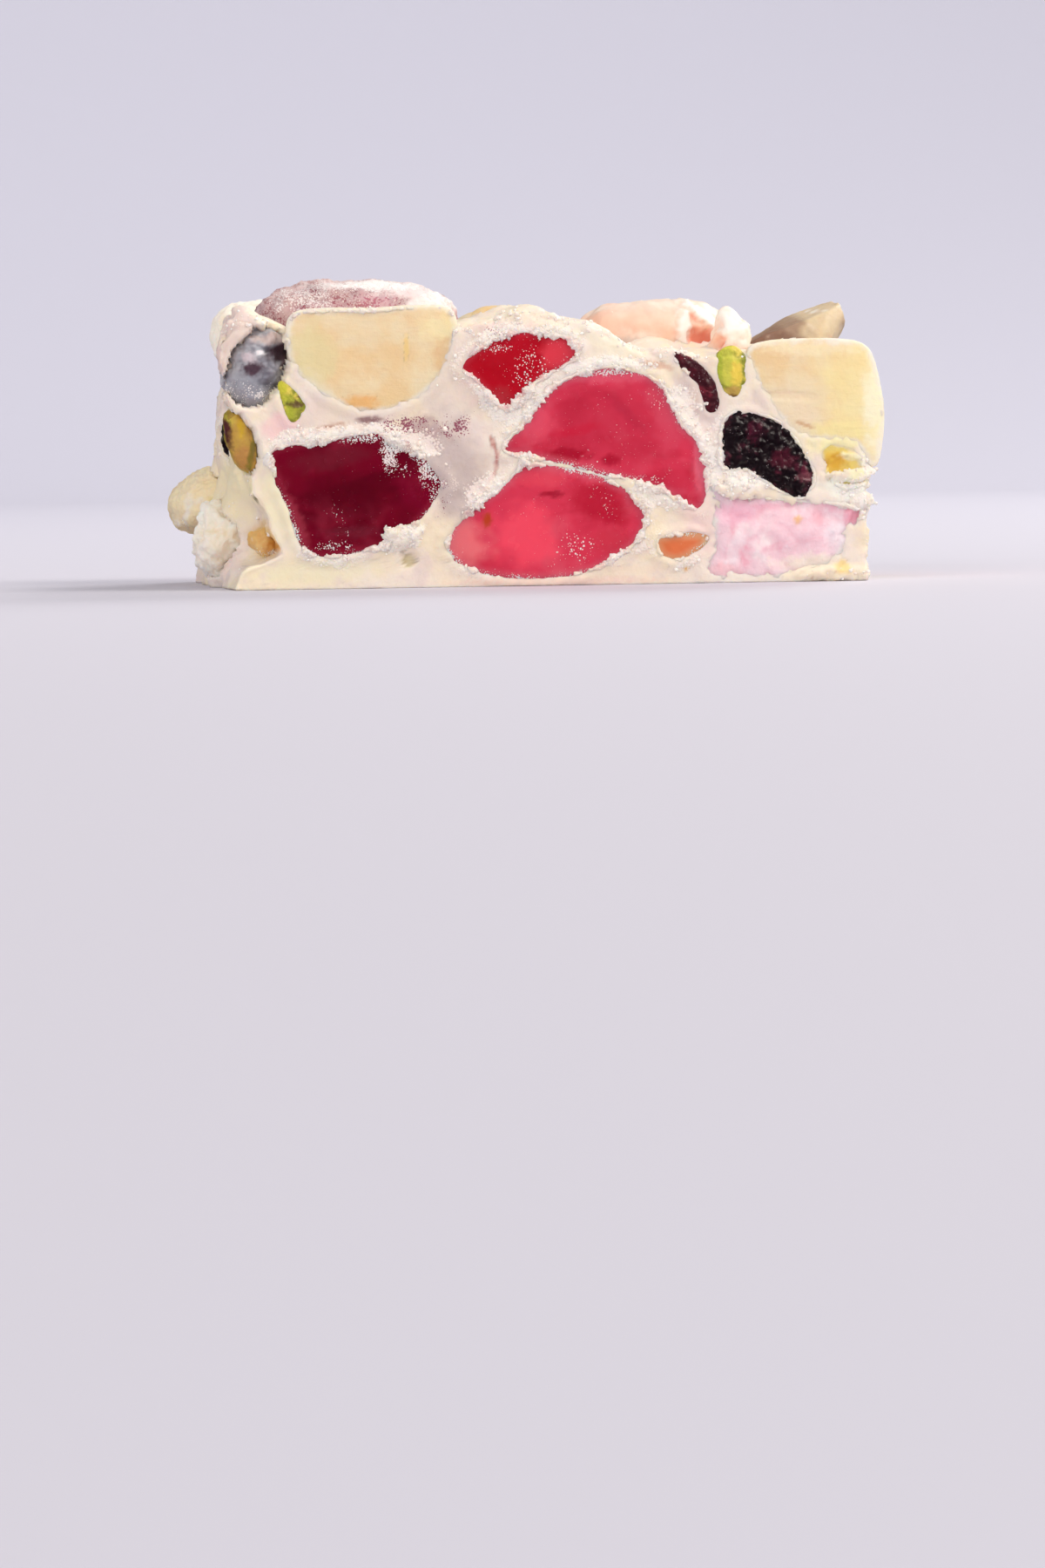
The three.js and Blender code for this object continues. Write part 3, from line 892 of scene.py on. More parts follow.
@dataclass(frozen=True)
class Relief:
    """How rough a piece is: the size and height of its lumps, its creases and its fine grain, in millimetres.

    The bulge is how far its cut face stands out, the lip how strong the chocolate's torn edge round it is, and
    the seam how far the chocolate laps over its border. The creases rise and sink about their middle.
    """

    lump: tuple[float, float] = (2.5, 0.05)
    crease: tuple[float, float] = (1.5, 0.0)
    grain: tuple[float, float] = (0.5, 0.02)
    bulge: float = 0.0
    lip: float = 1.0
    seam: float = 0.4
    crease_middle: float = 0.45

    def height(self, points: Array) -> Array:
        """Give how far the relief stands out at each point, in millimetres."""
        rise = self.lump[1] * NOISE.rough(points, self.lump[0], 2)
        rise += self.crease[1] * (NOISE.creased(points, self.crease[0], 2) - self.crease_middle)
        return rise + self.grain[1] * NOISE.rough(points + 50, self.grain[0], 2)


class Kind(Enum):
    """What a piece is made of: its finish and its relief."""

    BURGUNDY = (JellyFinish("burgundy_jelly", (122, 2, 34), (172, 48, 74), (96, 0, 24), 0.25), Relief())
    RUBY = (JellyFinish("ruby_jelly", (190, 12, 36), (222, 64, 82), (164, 4, 26), 0.45), Relief())
    ROSE = (JellyFinish("rose_jelly", (220, 60, 88), (236, 112, 130), (192, 26, 58), 0.35), Relief())
    ORANGE = (JellyFinish("orange_jelly", (236, 126, 80), (248, 190, 150), (224, 108, 64), 0.2), Relief())
    MACADAMIA = (NutFinish("macadamia_flesh", (241, 222, 184), (239, 209, 160), (212, 158, 100)),
                 Relief((3.0, 0.05), (1.2, 0.03), (0.4, 0.02), lip=0.1))
    TOASTED = (NutFinish("toasted_nut_flesh", (204, 182, 156), (180, 154, 130), (150, 120, 100)),
               Relief((3.0, 0.12), (1.6, 0.06), (0.5, 0.03)))
    PISTACHIO = (PistachioFinish(), Relief((1.5, 0.12), (1.0, 0.1), (0.4, 0.04), 0.25, lip=0.05, seam=0.3))
    BLACK_FRUIT = (DriedFruitFinish("black_fruit", (30, 16, 24), (96, 22, 48)),
                   Relief((1.8, 0.25), (1.0, 0.45), (0.4, 0.06), 0.35, lip=0.3, seam=0.15))
    RED_FRUIT = (DriedFruitFinish("red_fruit", (70, 12, 28), (132, 26, 48)),
                 Relief((1.6, 0.12), (0.9, 0.25), (0.4, 0.04), 0.25, lip=0.05, seam=0.35))
    PINK_FOAM = (MarshmallowFinish("pink_marshmallow", (252, 214, 222), (246, 178, 194), (255, 236, 236)),
                 Relief((3.2, 0.25), (1.8, 0.26), (0.5, 0.04), lip=0.15, seam=0.8))
    WHITE_FOAM = (MarshmallowFinish("white_marshmallow", (255, 241, 224), (250, 230, 204), (255, 249, 238)),
                  Relief((2.4, 0.2), (1.4, 0.22), (0.5, 0.05), lip=0.15))
    FROSTED = (FilmedFinish("frosted_jelly", (152, 86, 98), (118, 54, 72), (200, 162, 160), 0.4, -0.16),
               Relief((2.8, 0.25), (1.4, 0.14), (0.5, 0.09)))
    COATED = (FilmedFinish("coated_fruit", (148, 148, 156), (108, 104, 114), (182, 182, 188), 0.0, 0.1, 0.88),
              Relief((2.0, 0.16), (1.2, 0.12), (0.5, 0.03)))
    PEACH_FOAM = (FilmedFinish("peach_marshmallow", (250, 208, 184), (242, 182, 158), (254, 230, 214)),
                  Relief((3.6, 0.35), (2.6, 0.2), (0.7, 0.02)))

    @property
    def finish(self) -> object:
        """What colours and shades it."""
        return self.value[0]

    @property
    def relief(self) -> Relief:
        """How rough it is."""
        return self.value[1]

    @property
    def is_jelly(self) -> bool:
        """Whether it is a clear jelly sweet."""
        return isinstance(self.value[0], JellyFinish)


KIND_OF_SLOT = {
    "burgundy_jelly": Kind.BURGUNDY, "ruby_jelly": Kind.RUBY, "rose_jelly": Kind.ROSE, "orange_jelly": Kind.ORANGE,
    "dusted_jelly": Kind.FROSTED, "macadamia": Kind.MACADAMIA, "toasted_nut": Kind.TOASTED,
    "pistachio": Kind.PISTACHIO, "cranberry": Kind.BLACK_FRUIT, "red_cranberry": Kind.RED_FRUIT,
    "coated_berry": Kind.COATED, "pink_marshmallow": Kind.PINK_FOAM, "peach_marshmallow": Kind.PEACH_FOAM,
    "white_marshmallow": Kind.WHITE_FOAM,
}


class Pantry:
    """The materials, each built once."""

    def __init__(self) -> None:
        """Start with none."""
        self.made: dict[str, bpy.types.Material] = {}

    def material(self, finish: object) -> bpy.types.Material:
        """Give a finish's material, building it the first time."""
        if finish.name not in self.made:
            self.made[finish.name] = finish.material()
        return self.made[finish.name]


@dataclass(frozen=True)
class BlockForm:
    """The smooth form of the poured block: x along it, y from its cut front and z up, in millimetres."""

    lengths: Triple = (63.0, 34.0, 24.0)
    left_end: float = -29.0
    left_swing: float = 4.4
    right_end: float = 33.4
    top_level: float = 22.1
    top_ripple: float = 0.35
    climb_rise: float = 1.3
    climb_spread: float = 1.5
    climbed_half: float = 3.0
    origin: tuple[float, float] = (1.0004, 17.0)
    left_profile: tuple = (
        (0, -28.5), (1.2, -28.1), (3.6, -24.1), (6.3, -25), (10, -26.8), (14.6, -27.4), (18.6, -28.9), (23, -29.7),
        (27, -29.2),
    )
    mounds: tuple = (
        (-28, 4, 4.4, 4.6, 8), (-15, 6, 3.5, 8.5, 9), (0.2, 1, 3.8, 8, 7), (5.5, 3, 1, 4, 5),
        (14.5, 17, 1, 8, 7), (-22, 27, 2, 7, 6), (-2, 27, 1.3, 8, 6), (28, 37, -2, 10, 10),
    )

    def climbs(self) -> list[tuple[float, float, float, float, float]]:
        """Give the chocolate that climbs round each larger piece in the top, as mounds."""
        found = []
        for node in frame["nodes"]:
            if node.startswith("top_"):
                low, high = (np.array(corner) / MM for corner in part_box(node))
                middle, half = (low + high) / 2, (high - low) / 2
                if half[0] > self.climbed_half:
                    across, deep = half[:2] + self.climb_spread
                    x, y = middle[:2] + np.array(self.origin)
                    found.append((x, y, self.climb_rise, across, deep))
        return found

    def top(self, x: Array, y: Array) -> Array:
        """Give the height of the poured top."""
        rises = [rise * np.exp(-(((x - mx) / across) ** 2) - ((y - my) / deep) ** 2)
                 for mx, my, rise, across, deep in (*self.mounds, *self.climbs())]
        count = len(self.mounds)
        ripple = self.top_ripple * np.sin(0.9 * x + 1.3) * np.sin(0.7 * y + 0.4)
        return self.top_level + sum(rises[:count]) + np.max(rises[count:], axis=0) + ripple

    def left(self, y: Array, z: Array) -> Array:
        """Give where the left end stands: hollow at the cut front, and swung inwards at the top's back."""
        heights, ends = np.array(self.left_profile, float).T
        after = np.clip(np.searchsorted(heights, z), 1, len(heights) - 1)
        share = eased(z, heights[after - 1], heights[after])
        hollow = ends[after - 1] + share * (ends[after] - ends[after - 1])
        inward = eased(y, 3, 12)
        swing = self.left_swing * (y / self.lengths[1]) * (z / self.top_level)
        return hollow + (self.left_end - hollow) * inward + swing + 0.5 * np.sin(0.8 * y + 0.5 * z) * inward

    def right(self, y: Array, z: Array) -> Array:
        """Give where the right end stands: a rough cut that bows a little."""
        bow = 0.3 * np.sin(0.16 * y + 0.5) + 0.25 * np.sin(0.21 * z + 0.9)
        return self.right_end - 0.7 + bow + 0.22 * np.sin(0.83 * y + 1.9) * np.sin(0.61 * z + 0.4)


class Piece:
    """A sweet, nut or fruit of the slice."""

    def __init__(self, node: str) -> None:
        """Look up what the node is made of."""
        self.node = node
        self.kind = KIND_OF_SLOT[SLOTS[node]]

    def finished(self, ending: str, fine: FineMesh, marks: Marks, pantry: Pantry,
                 **numbers: Array) -> bpy.types.Object:
        """Keep what the piece's material reads for each vertex, and put the piece in its node's place.

        Args:
            ending: What its name has after the node's.
            fine: Its fine form.
            marks: Its patches.
            pantry: The materials.
            numbers: Numbers for each vertex that differ between cut and whole pieces.

        Returns:
            The piece, which replaces its node.
        """
        crease = NOISE.creased(fine.points, self.kind.relief.crease[0], 2)
        numbers |= {"crease": np.clip(crease * 1.4, 0, 1), "grains": marks.layer(Layer.GRAINS)}
        for name, values in numbers.items():
            fine.number(name, values)
        fine.paint("tint", marks.tint())
        return fine.placed(self.node + ending, pantry.material(self.kind.finish), SLOTS[self.node], self.node)


class CutPiece(Piece):
    """A piece that the knife went through: its outline in the cut face and its fine form."""

    CURVE_STEPS = 6
    RINGS = 10
    ROUNDED_SHARE = 0.96
    PLUMPNESS = 0.6
    FLATNESS = 0.01
    STEPS = 75
    COARSEST = 0.24

    def __init__(self, node: str, face: Face) -> None:
        """Read the piece's outline from its node.

        Args:
            node: The node of the frame.
            face: The cut face that it shows in.
        """
        super().__init__(node)
        self.face = face
        source = FineMesh.from_node(node)
        depths = source.points @ face.outward
        self.plane = depths.max()
        self.depth = depths.max() - depths.min()
        corners = self.ring(source, depths > self.plane - self.FLATNESS)
        curve = closed_curve(corners, self.CURVE_STEPS)
        self.outline = curve + self.kind.relief.seam * way_out(curve, 2)

    def ring(self, source: FineMesh, on_face: Array) -> Array:
        """Walk round the border of the piece's flat face.

        Args:
            source: The node's mesh.
            on_face: Which of its vertices lie in the cut face.

        Returns:
            The border's points in order, as right and up in the face.
        """
        nexts: dict[int, int] = {}
        inner = set()
        for polygon in source.mesh.polygons:
            corners = list(polygon.vertices)
            if all(on_face[i] for i in corners):
                inner.update(zip(corners, corners[1:] + corners[:1]))
        for start, end in inner:
            if (end, start) not in inner:
                nexts[start] = end
        walk = [next(iter(nexts))]
        while nexts[walk[-1]] != walk[0]:
            walk.append(nexts[walk[-1]])
        return self.face.flat(source.points[walk])

    def inside(self, places: Array) -> Array:
        """Measure how far places in the face lie outside the outline, negative inside."""
        near = np.all((places > self.outline.min(0) - 4) & (places < self.outline.max(0) + 4), axis=1)
        gaps = np.full(len(places), 9.0)
        if near.any():
            gaps[near] = outline_distance(places[near], self.outline)
        return gaps

    def loft(self) -> FineMesh:
        """Build the closed smooth form: the outline, narrowing inwards to a rounded back."""
        middle = self.outline.mean(axis=0)
        turns = np.linspace(0, self.ROUNDED_SHARE, self.RINGS) * math.pi / 2
        points = []
        for turn in turns:
            flat = middle + (self.outline - middle) * math.cos(turn) ** self.PLUMPNESS
            level = self.plane - self.depth * math.sin(turn)
            points.append(self.face.space(flat, level))
        count = len(self.outline)
        faces = [list(range(count)), list(range((self.RINGS - 1) * count, self.RINGS * count))[::-1]]
        for ring, i in product(range(self.RINGS - 1), range(count)):
            here, after = ring * count + i, ring * count + (i + 1) % count
            faces.append([here, here + count, after + count, after])
        fine = FineMesh.from_faces(np.concatenate(points), faces)
        fine.turned_outward()
        return fine

    def build(self, pantry: Pantry, patches: list[Patch]) -> bpy.types.Object:
        """Build the finished piece.

        Args:
            pantry: The materials.
            patches: The piece's patches.

        Returns:
            The piece, which replaces its node.
        """
        size = quad_size(np.ptp(self.outline, axis=0).max(), self.STEPS, self.COARSEST)
        fine = self.loft().remeshed(size)
        fine.smooth(3)
        points, normals = fine.points, fine.normals
        places = self.face.flat(points)
        inward = -outline_distance(places, self.outline)
        facing = eased(self.plane - points @ self.face.outward, 0.8, 0.25)
        marks = Marks(patches, places, facing)
        relief = self.kind.relief
        flat = (self.plane - points @ self.face.outward) * eased(inward, 0.05, 0.3) * facing
        points = points + self.face.outward * flat[:, None]
        rough = 0.3 + 0.7 * facing * eased(inward, 0.1, 1.2 - 1.5 * relief.bulge)
        points = points + normals * (relief.height(points) * rough)[:, None]
        lift = relief.bulge * eased(inward, 0.1, 1.4) * facing + marks.layer(Layer.RAISE)
        points = points + self.face.outward * lift[:, None]
        points[:, 2] = np.maximum(points[:, 2], Lip.lowest)
        fine.points = points
        near = eased(inward, 1.0, 0.0) * (0.5 + 0.6 * NOISE.rough(points, 1.8, 2)) * (0.3 + 0.7 * relief.lip)
        dust = marks.layer(Layer.DUST)
        loose = np.clip(0.7 * near + dust + marks.layer(Layer.GRAINS), 0, 1)
        return self.finished(
            "_cut", fine, marks, pantry, edge=eased(inward, 2.2, 0.0),
            dust=np.clip(np.maximum(near, dust), 0, 1) * facing, crumbs=loose * facing * above_ground(points))


def above_ground(points: Array) -> Array:
    """Fall to 0 close to the plane that the slice stands on, so that no crumb reaches below it."""
    return eased(points[:, 2], 0.25, 0.6)


@dataclass(frozen=True)
class Lip:
    """The torn lip of chocolate that laps over a cut piece's edge and covers the joint, with its rough crumbs."""

    cut: CutPiece
    step: float = 0.12
    across: int = 13
    buried: float = 0.5
    proud: float = 0.15
    lap: float = 0.09
    slope: float = 1.0
    sunk: float = 0.12
    lowest: float = 0.03

    def line(self) -> tuple[Array, Array]:
        """Walk along the outline in even steps.

        Returns:
            The places in the cut face, and the way out of the piece at each.
        """
        outline = self.cut.outline
        closed = np.concatenate([outline, outline[:1]])
        lengths = np.concatenate([[0], np.cumsum(np.linalg.norm(np.diff(closed, axis=0), axis=1))])
        stops = np.linspace(0, lengths[-1], int(lengths[-1] / self.step), endpoint=False)
        places = np.stack([np.interp(stops, lengths, closed[:, axis]) for axis in range(2)], axis=1)
        return places, way_out(places, 3)

    @property
    def shares(self) -> Array:
        """The places across the band, from 0 inside to 1 outside."""
        return np.linspace(0, 1, self.across)

    def band(self, patches: list[Patch]) -> tuple[Array, Array]:
        """Form the band's cross-sections.

        Args:
            patches: The patches of the chocolate.

        Returns:
            The points of each cross-section, and how torn the lip is there.
        """
        cut, face = self.cut, self.cut.face
        places, outward = self.line()
        marks = Marks(patches, places)
        spots = face.space(places, cut.plane)
        wild = 0.35 + 1.3 * NOISE.rough(spots, 2.8, 2)
        crumble = np.clip(cut.kind.relief.lip * wild + 0.7 * marks.layer(Layer.CRUMBLE), 0, 1.5)
        inner = 0.06 + crumble * (0.26 + 0.3 * NOISE.rough(spots + 7, 0.6, 3))
        outer = 0.16 + crumble * (0.34 + 0.34 * NOISE.rough(spots + 19, 0.9, 3))
        high = 0.03 + 0.16 * crumble - 0.2 * eased(crumble, 0.2, 0.04)
        arch = np.sin(math.pi * self.shares) ** 0.7
        offset = -cut.kind.relief.seam - inner[:, None] + (inner + outer)[:, None] * self.shares
        ground = (self.proud + self.lap) * eased(offset, self.slope, 0.0) - self.proud
        level = ground - self.sunk + (high[:, None] + self.sunk) * arch
        flat = places[:, None] + outward[:, None] * offset[..., None]
        points = face.space(flat, cut.plane + level)
        spots = points.reshape(-1, 3)
        rough = NOISE.creased(spots, 0.34, 3) - 0.35 + 0.5 * NOISE.rough(spots, 0.6, 3)
        rough = rough.reshape(level.shape) * arch * (0.02 + 0.19 * crumble)[:, None]
        points = points + rough[..., None] * face.outward
        side = NOISE.rough(points.reshape(-1, 3) + 83, 0.45, 2).reshape(level.shape) * 0.16 * crumble[:, None]
        points = points + side[..., None] * face.space(outward, 0)[:, None]
        under = points[:, [-1, 0]] - self.buried * face.outward
        return np.concatenate([points, under], axis=1), crumble

    def build(self, pantry: Pantry, patches: list[Patch]) -> bpy.types.Object:
        """Build the lip as a closed band round the outline.

        Args:
            pantry: The materials.
            patches: The patches of the chocolate.

        Returns:
            The piece.
        """
        cut = self.cut
        points, crumble = self.band(patches)
        count, width = points.shape[:2]
        number = np.arange(count * width).reshape(count, width)
        after, beside = np.roll(number, -1, axis=0), np.roll(number, -1, axis=1)
        faces = np.stack([number, beside, np.roll(after, -1, axis=1), after], axis=-1).reshape(-1, 4)
        points[..., 2] = np.maximum(points[..., 2], self.lowest)
        fine = FineMesh.from_faces(points.reshape(-1, 3), faces.tolist())
        fine.turned_outward()
        marks = Marks(patches, cut.face.flat(fine.points))
        tint = marks.tint()
        inside = np.concatenate([eased(self.shares, 0.6, 0.1), [0, 0]])
        if cut.kind.is_jelly:
            pink = (0.2 + 0.45 * inside) * np.clip(0.6 + NOISE.rough(fine.points, 0.7, 2).reshape(count, width), 0, 1)
            lay(tint, pink.ravel(), tuple(np.array(cut.kind.finish.edge) // 2 + 120))
        fine.paint("tint", tint)
        fine.number("speckle", np.clip(marks.layer(Layer.SPECKLE), 0, 1))
        frosty = np.repeat(crumble, width) * (0.7 + 0.8 * NOISE.rough(fine.points, 1.1, 2))
        fine.number("dust", np.clip(frosty, 0, 1))
        fine.number("crumbs", np.clip(np.repeat(crumble, width), 0, 1.2) * above_ground(fine.points))
        return fine.placed(cut.node + "_lip", pantry.material(ChocolateFinish()), "chocolate", None)


@dataclass(frozen=True)
class Carving:
    """How a whole piece departs from a smooth pebble.

    Each flat side is a way out of the piece with its distance as a share of the piece's reach that way. Broken
    sides are drawn from the seed. The roughness multiplies the kind's relief.
    """

    flats: tuple[tuple[float, float, float, float], ...] = ()
    broken: int = 0
    seed: int = 1
    roughness: float = 1.0
    pressed: float = 0.94

    def press(self, points: Array) -> Array:
        """Press the points onto the flat sides."""
        draw = np.random.default_rng(self.seed)
        ways = [(np.array(flat[:3]), flat[3]) for flat in self.flats]
        ways += [(draw.normal(size=3), draw.uniform(0.66, 0.86)) for _ in range(self.broken)]
        middle = (points.min(0) + points.max(0)) / 2
        for way, share in ways:
            way = way / np.linalg.norm(way)
            reach = (points - middle) @ way
            points = points - self.pressed * way * np.maximum(reach - share * reach.max(), 0)[:, None]
        return points


CARVINGS = {
    "left_jelly_ruby": Carving(((-1, 0, 0, 0.8),)),
    "coated_berry": Carving(((-0.25, -1, 0.1, 0.86),), 1, 7, 2.0),
    "top_nut_right": Carving(((-0.487, 0, 0.874, 0.62), (0.969, 0, 0.248, 0.86), (-0.3, -0.85, 0.42, 0.7)), 2, 4),
    "left_macadamia": Carving(broken=9, seed=3, roughness=5.0),
    "left_macadamia_chip": Carving(
        ((-0.6, -1, 0.5, 0.3), (0.7, -0.8, 0.5, 0.45), (0.1, -0.9, -0.6, 0.5), (-0.9, -0.2, -0.3, 0.5)), 3, 11, 6.0),
    "top_macadamia_back": Carving(broken=3, seed=5),
    "left_marshmallow": Carving(broken=6, seed=2, roughness=2.2),
    "left_cranberry": Carving(roughness=0.7),
    "top_marshmallow_bit": Carving(broken=8, seed=6, roughness=2.6),
    "top_jelly": Carving(broken=3, seed=9, roughness=1.2),
}


class WholePiece(Piece):
    """A piece that stands whole in the poured top or the broken left end."""

    LOWEST = 0.02
    STEPS = 70
    COARSEST = 0.26
    SMOOTHED = 14
    SMOOTHED_AGAIN = 4

    def __init__(self, node: str) -> None:
        """Smooth the node's faceted form and carve it."""
        super().__init__(node)
        self.carving = CARVINGS.get(node, Carving())
        source = FineMesh.from_node(node)
        low, high = source.points.min(0), source.points.max(0)
        size = quad_size((high - low).max(), self.STEPS, self.COARSEST)
        self.fine = source.modified("SUBSURF", levels=2, render_levels=2).remeshed(size)
        self.fine.smooth(self.SMOOTHED)
        points = self.fine.points
        now_low, now_high = points.min(0), points.max(0)
        points = (points - now_low) / (now_high - now_low) * (high - low) + low
        self.fine.points = self.carving.press(points)
        if self.carving.flats or self.carving.broken:
            self.fine = self.fine.remeshed(size)
            self.fine.smooth(self.SMOOTHED_AGAIN)
        self.search = self.fine.tree()

    def build(self, pantry: Pantry, patches: list[Patch]) -> bpy.types.Object:
        """Build the finished piece.

        Args:
            pantry: The materials.
            patches: The piece's patches.

        Returns:
            The piece, which replaces its node.
        """
        fine = self.fine
        points, normals = fine.points, fine.normals
        places = Face.FRONT.flat(points)
        marks = Marks(patches, places, eased(normals @ Face.FRONT.outward, -0.3, 0.2))
        rise = self.carving.roughness * self.kind.relief.height(points) + marks.layer(Layer.RAISE)
        points = points + normals * rise[:, None]
        points[:, 2] = np.maximum(points[:, 2], self.LOWEST)
        fine.points = points
        normals = fine.normals
        low, high = points.min(0), points.max(0)
        height = (points[:, 2] - low[2]) / (high[2] - low[2])
        upward = normals[:, 2]
        low_dust = eased(height, 0.5, 0.15) * (0.4 + 0.5 * NOISE.rough(points, 1.5, 2))
        return self.finished(
            "_whole", fine, marks, pantry,
            edge=np.clip(0.5 + 0.5 * NOISE.rough(points, 2.4, 2), 0, 1),
            film=np.clip(0.5 + 0.3 * upward + 0.35 * NOISE.rough(points, 3.0, 2), 0, 1),
            dust=np.clip(np.maximum(low_dust, marks.layer(Layer.DUST)), 0, 1),
            crumbs=np.clip(marks.layer(Layer.GRAINS) + 0.25 * eased(upward, 0.3, 1.0), 0, 1))


class ChocolateBlock:
    """The white chocolate that holds everything: a fine grid over the block's form, with rims and pits."""

    ACROSS_STEP = 0.28
    UP_STEP = 0.27
    DEPTH_STEPS = (0.26, 0.55)
    CORNER_STEPS = (0.1, 0.14, 0.2)
    BASE_LEVEL = 1e-4
    WINDOW = 2.2
    WINDOW_FADE = 0.6
    BEHIND_SKIN = 0.45
    BEFORE_FRONT = 5
    CLIMB_REACH = 2.5
    CLIMB_FADE = 0.7
    CLIMB = 0.5
    INSIDE = -0.4
    PIT = 1.3
    LEFT_WAY = (-1.0, -0.5, 0.4)

    def __init__(self, form: BlockForm, cuts: list[CutPiece], wholes: list[WholePiece]) -> None:
        """Keep the block's form and the pieces that sit in it."""
        self.form = form
        self.cuts = cuts
        self.wholes = wholes

    def shares(self, length: float, steps: tuple[float, float]) -> Array:
        """Divide a length into shares from 0 to 1, closer together at both ends.

        Args:
            length: The length in millimetres.
            steps: The step at its start and at its end.

        Returns:
            The shares in order.
        """
        corner = np.cumsum((0.0,) + self.CORNER_STEPS)
        inner = length - 2 * corner[-1]
        count = max(2, round(2 * inner / sum(steps)))
        growth = np.linspace(steps[0], steps[1], count)
        middle = corner[-1] + np.concatenate([[0], np.cumsum(growth) * inner / growth.sum()])
        return np.concatenate([corner[:-1], middle, length - corner[:-1][::-1]]) / length

    def grid(self) -> tuple[Array, Array]:
        """Lay a box of squares over the block.

        Returns:
            The shares along, deep and up of each vertex, and the faces.
        """
        steps = ((self.ACROSS_STEP,) * 2, self.DEPTH_STEPS, (self.UP_STEP,) * 2)
        lines = [self.shares(length, ends) for length, ends in zip(self.form.lengths, steps)]
        counts = [len(line) for line in lines]
        index = np.full(counts, -1)
        edge = np.ones(counts, bool)
        edge[1:-1, 1:-1, 1:-1] = False
        index[edge] = np.arange(edge.sum())
        places = np.argwhere(edge)
        shares = np.stack([lines[axis][places[:, axis]] for axis in range(3)], axis=1)
        faces = []
        for axis, end in product(range(3), (0, -1)):
            sheet = np.take(index, end, axis=axis)
            quads = np.stack([sheet[:-1, :-1], sheet[1:, :-1], sheet[1:, 1:], sheet[:-1, 1:]], axis=-1).reshape(-1, 4)
            outward_up = (end == -1) != (axis == 1)
            faces.append(quads if outward_up else quads[:, ::-1])
        return shares, np.concatenate(faces)

    def place(self, shares: Array) -> Array:
        """Put the grid's vertices on the block's smooth form, in its own measures."""
        form = self.form
        y = shares[:, 1] * form.lengths[1]
        rough_x = form.left_end + shares[:, 0] * (form.right_end - form.left_end)
        z = shares[:, 2] * form.top(rough_x, y)
        left, right = form.left(y, z), form.right(y, z)
        x = left + shares[:, 0] * (right - left)
        return np.stack([x, y, shares[:, 2] * form.top(x, y)], axis=1)

    def rounded(self, points: Array, shares: Array) -> Array:
        """Round the block's edges, more at its top and most at its top left.

        Args:
            points: The vertices on the smooth form.
            shares: Their shares along, deep and up.

        Returns:
            The moved vertices.
        """
        lengths = np.array(self.form.lengths)
        nearest = np.minimum(shares, 1 - shares) * lengths
        inward = np.where(shares < 0.5, 1.0, -1.0)
        top = eased(shares[:, 2], 0.8, 1.0)
        plump = 0.45 + 0.45 * top + 0.9 * top * eased(shares[:, 0], 0.12, 0.0)
        reach = plump * (1 + 0.7 * NOISE.rough(points, 2.2, 2))
        at_base = eased(shares[:, 2] * lengths[2], 0.2, 2.0)
        reach = np.maximum(0.12, reach * (0.35 + 0.65 * at_base))[:, None]
        offset = np.minimum(nearest - reach, 0)
        length = np.linalg.norm(offset, axis=1, keepdims=True)
        pulled = offset * reach / np.maximum(length, reach)
        return points + (pulled - offset) * inward

    def windows(self, points: Array) -> Array:
        """Measure how far the cut front sinks so that pieces just behind it show.

        Args:
            points: The block's vertices.

        Returns:
            How far each vertex goes straight back, in millimetres.
        """
        sunk = np.zeros(len(points))
        front = points[:, 1].min()
        chosen = np.flatnonzero(points[:, 1] < front + self.WINDOW)
        ragged = 0.9 * NOISE.rough(points + 33, 1.5, 3)
        for whole in self.wholes:
            low, high = whole.fine.points.min(0), whole.fine.points.max(0)
            if low[1] > front + self.WINDOW:
                continue
            flat = points[chosen][:, [0, 2]]
            inside = np.all((flat > low[[0, 2]]) & (flat < high[[0, 2]]), axis=1)
            for i in chosen[inside]:
                start = Vector((points[i, 0], front - self.BEFORE_FRONT, points[i, 2]))
                where = whole.search.ray_cast(start, Vector((0, 1, 0)))[0]
                if where is not None:
                    behind = np.array(where.y - front + ragged[i])
                    share = float(eased(behind, self.WINDOW, self.WINDOW - self.WINDOW_FADE))
                    sunk[i] = max(sunk[i], (where.y + self.BEHIND_SKIN - points[i, 1]) * share)
        return sunk

    def meniscus(self, points: Array) -> Array:
        """Measure how closely each vertex lies to a whole piece: 1 at its skin, and far below 0 inside it."""
        climb = np.zeros(len(points))
        for whole in self.wholes:
            low, high = whole.fine.points.min(0) - self.CLIMB_REACH, whole.fine.points.max(0) + self.CLIMB_REACH
            for i in np.flatnonzero(np.all((points > low) & (points < high), axis=1)):
                where, normal, _, gap = whole.search.find_nearest(points[i])
                if normal.dot(Vector(points[i]) - where) < 0:
                    climb[i] = self.INSIDE - gap
                elif climb[i] >= 0:
                    climb[i] = max(climb[i], math.exp(-gap / self.CLIMB_FADE))
        return climb

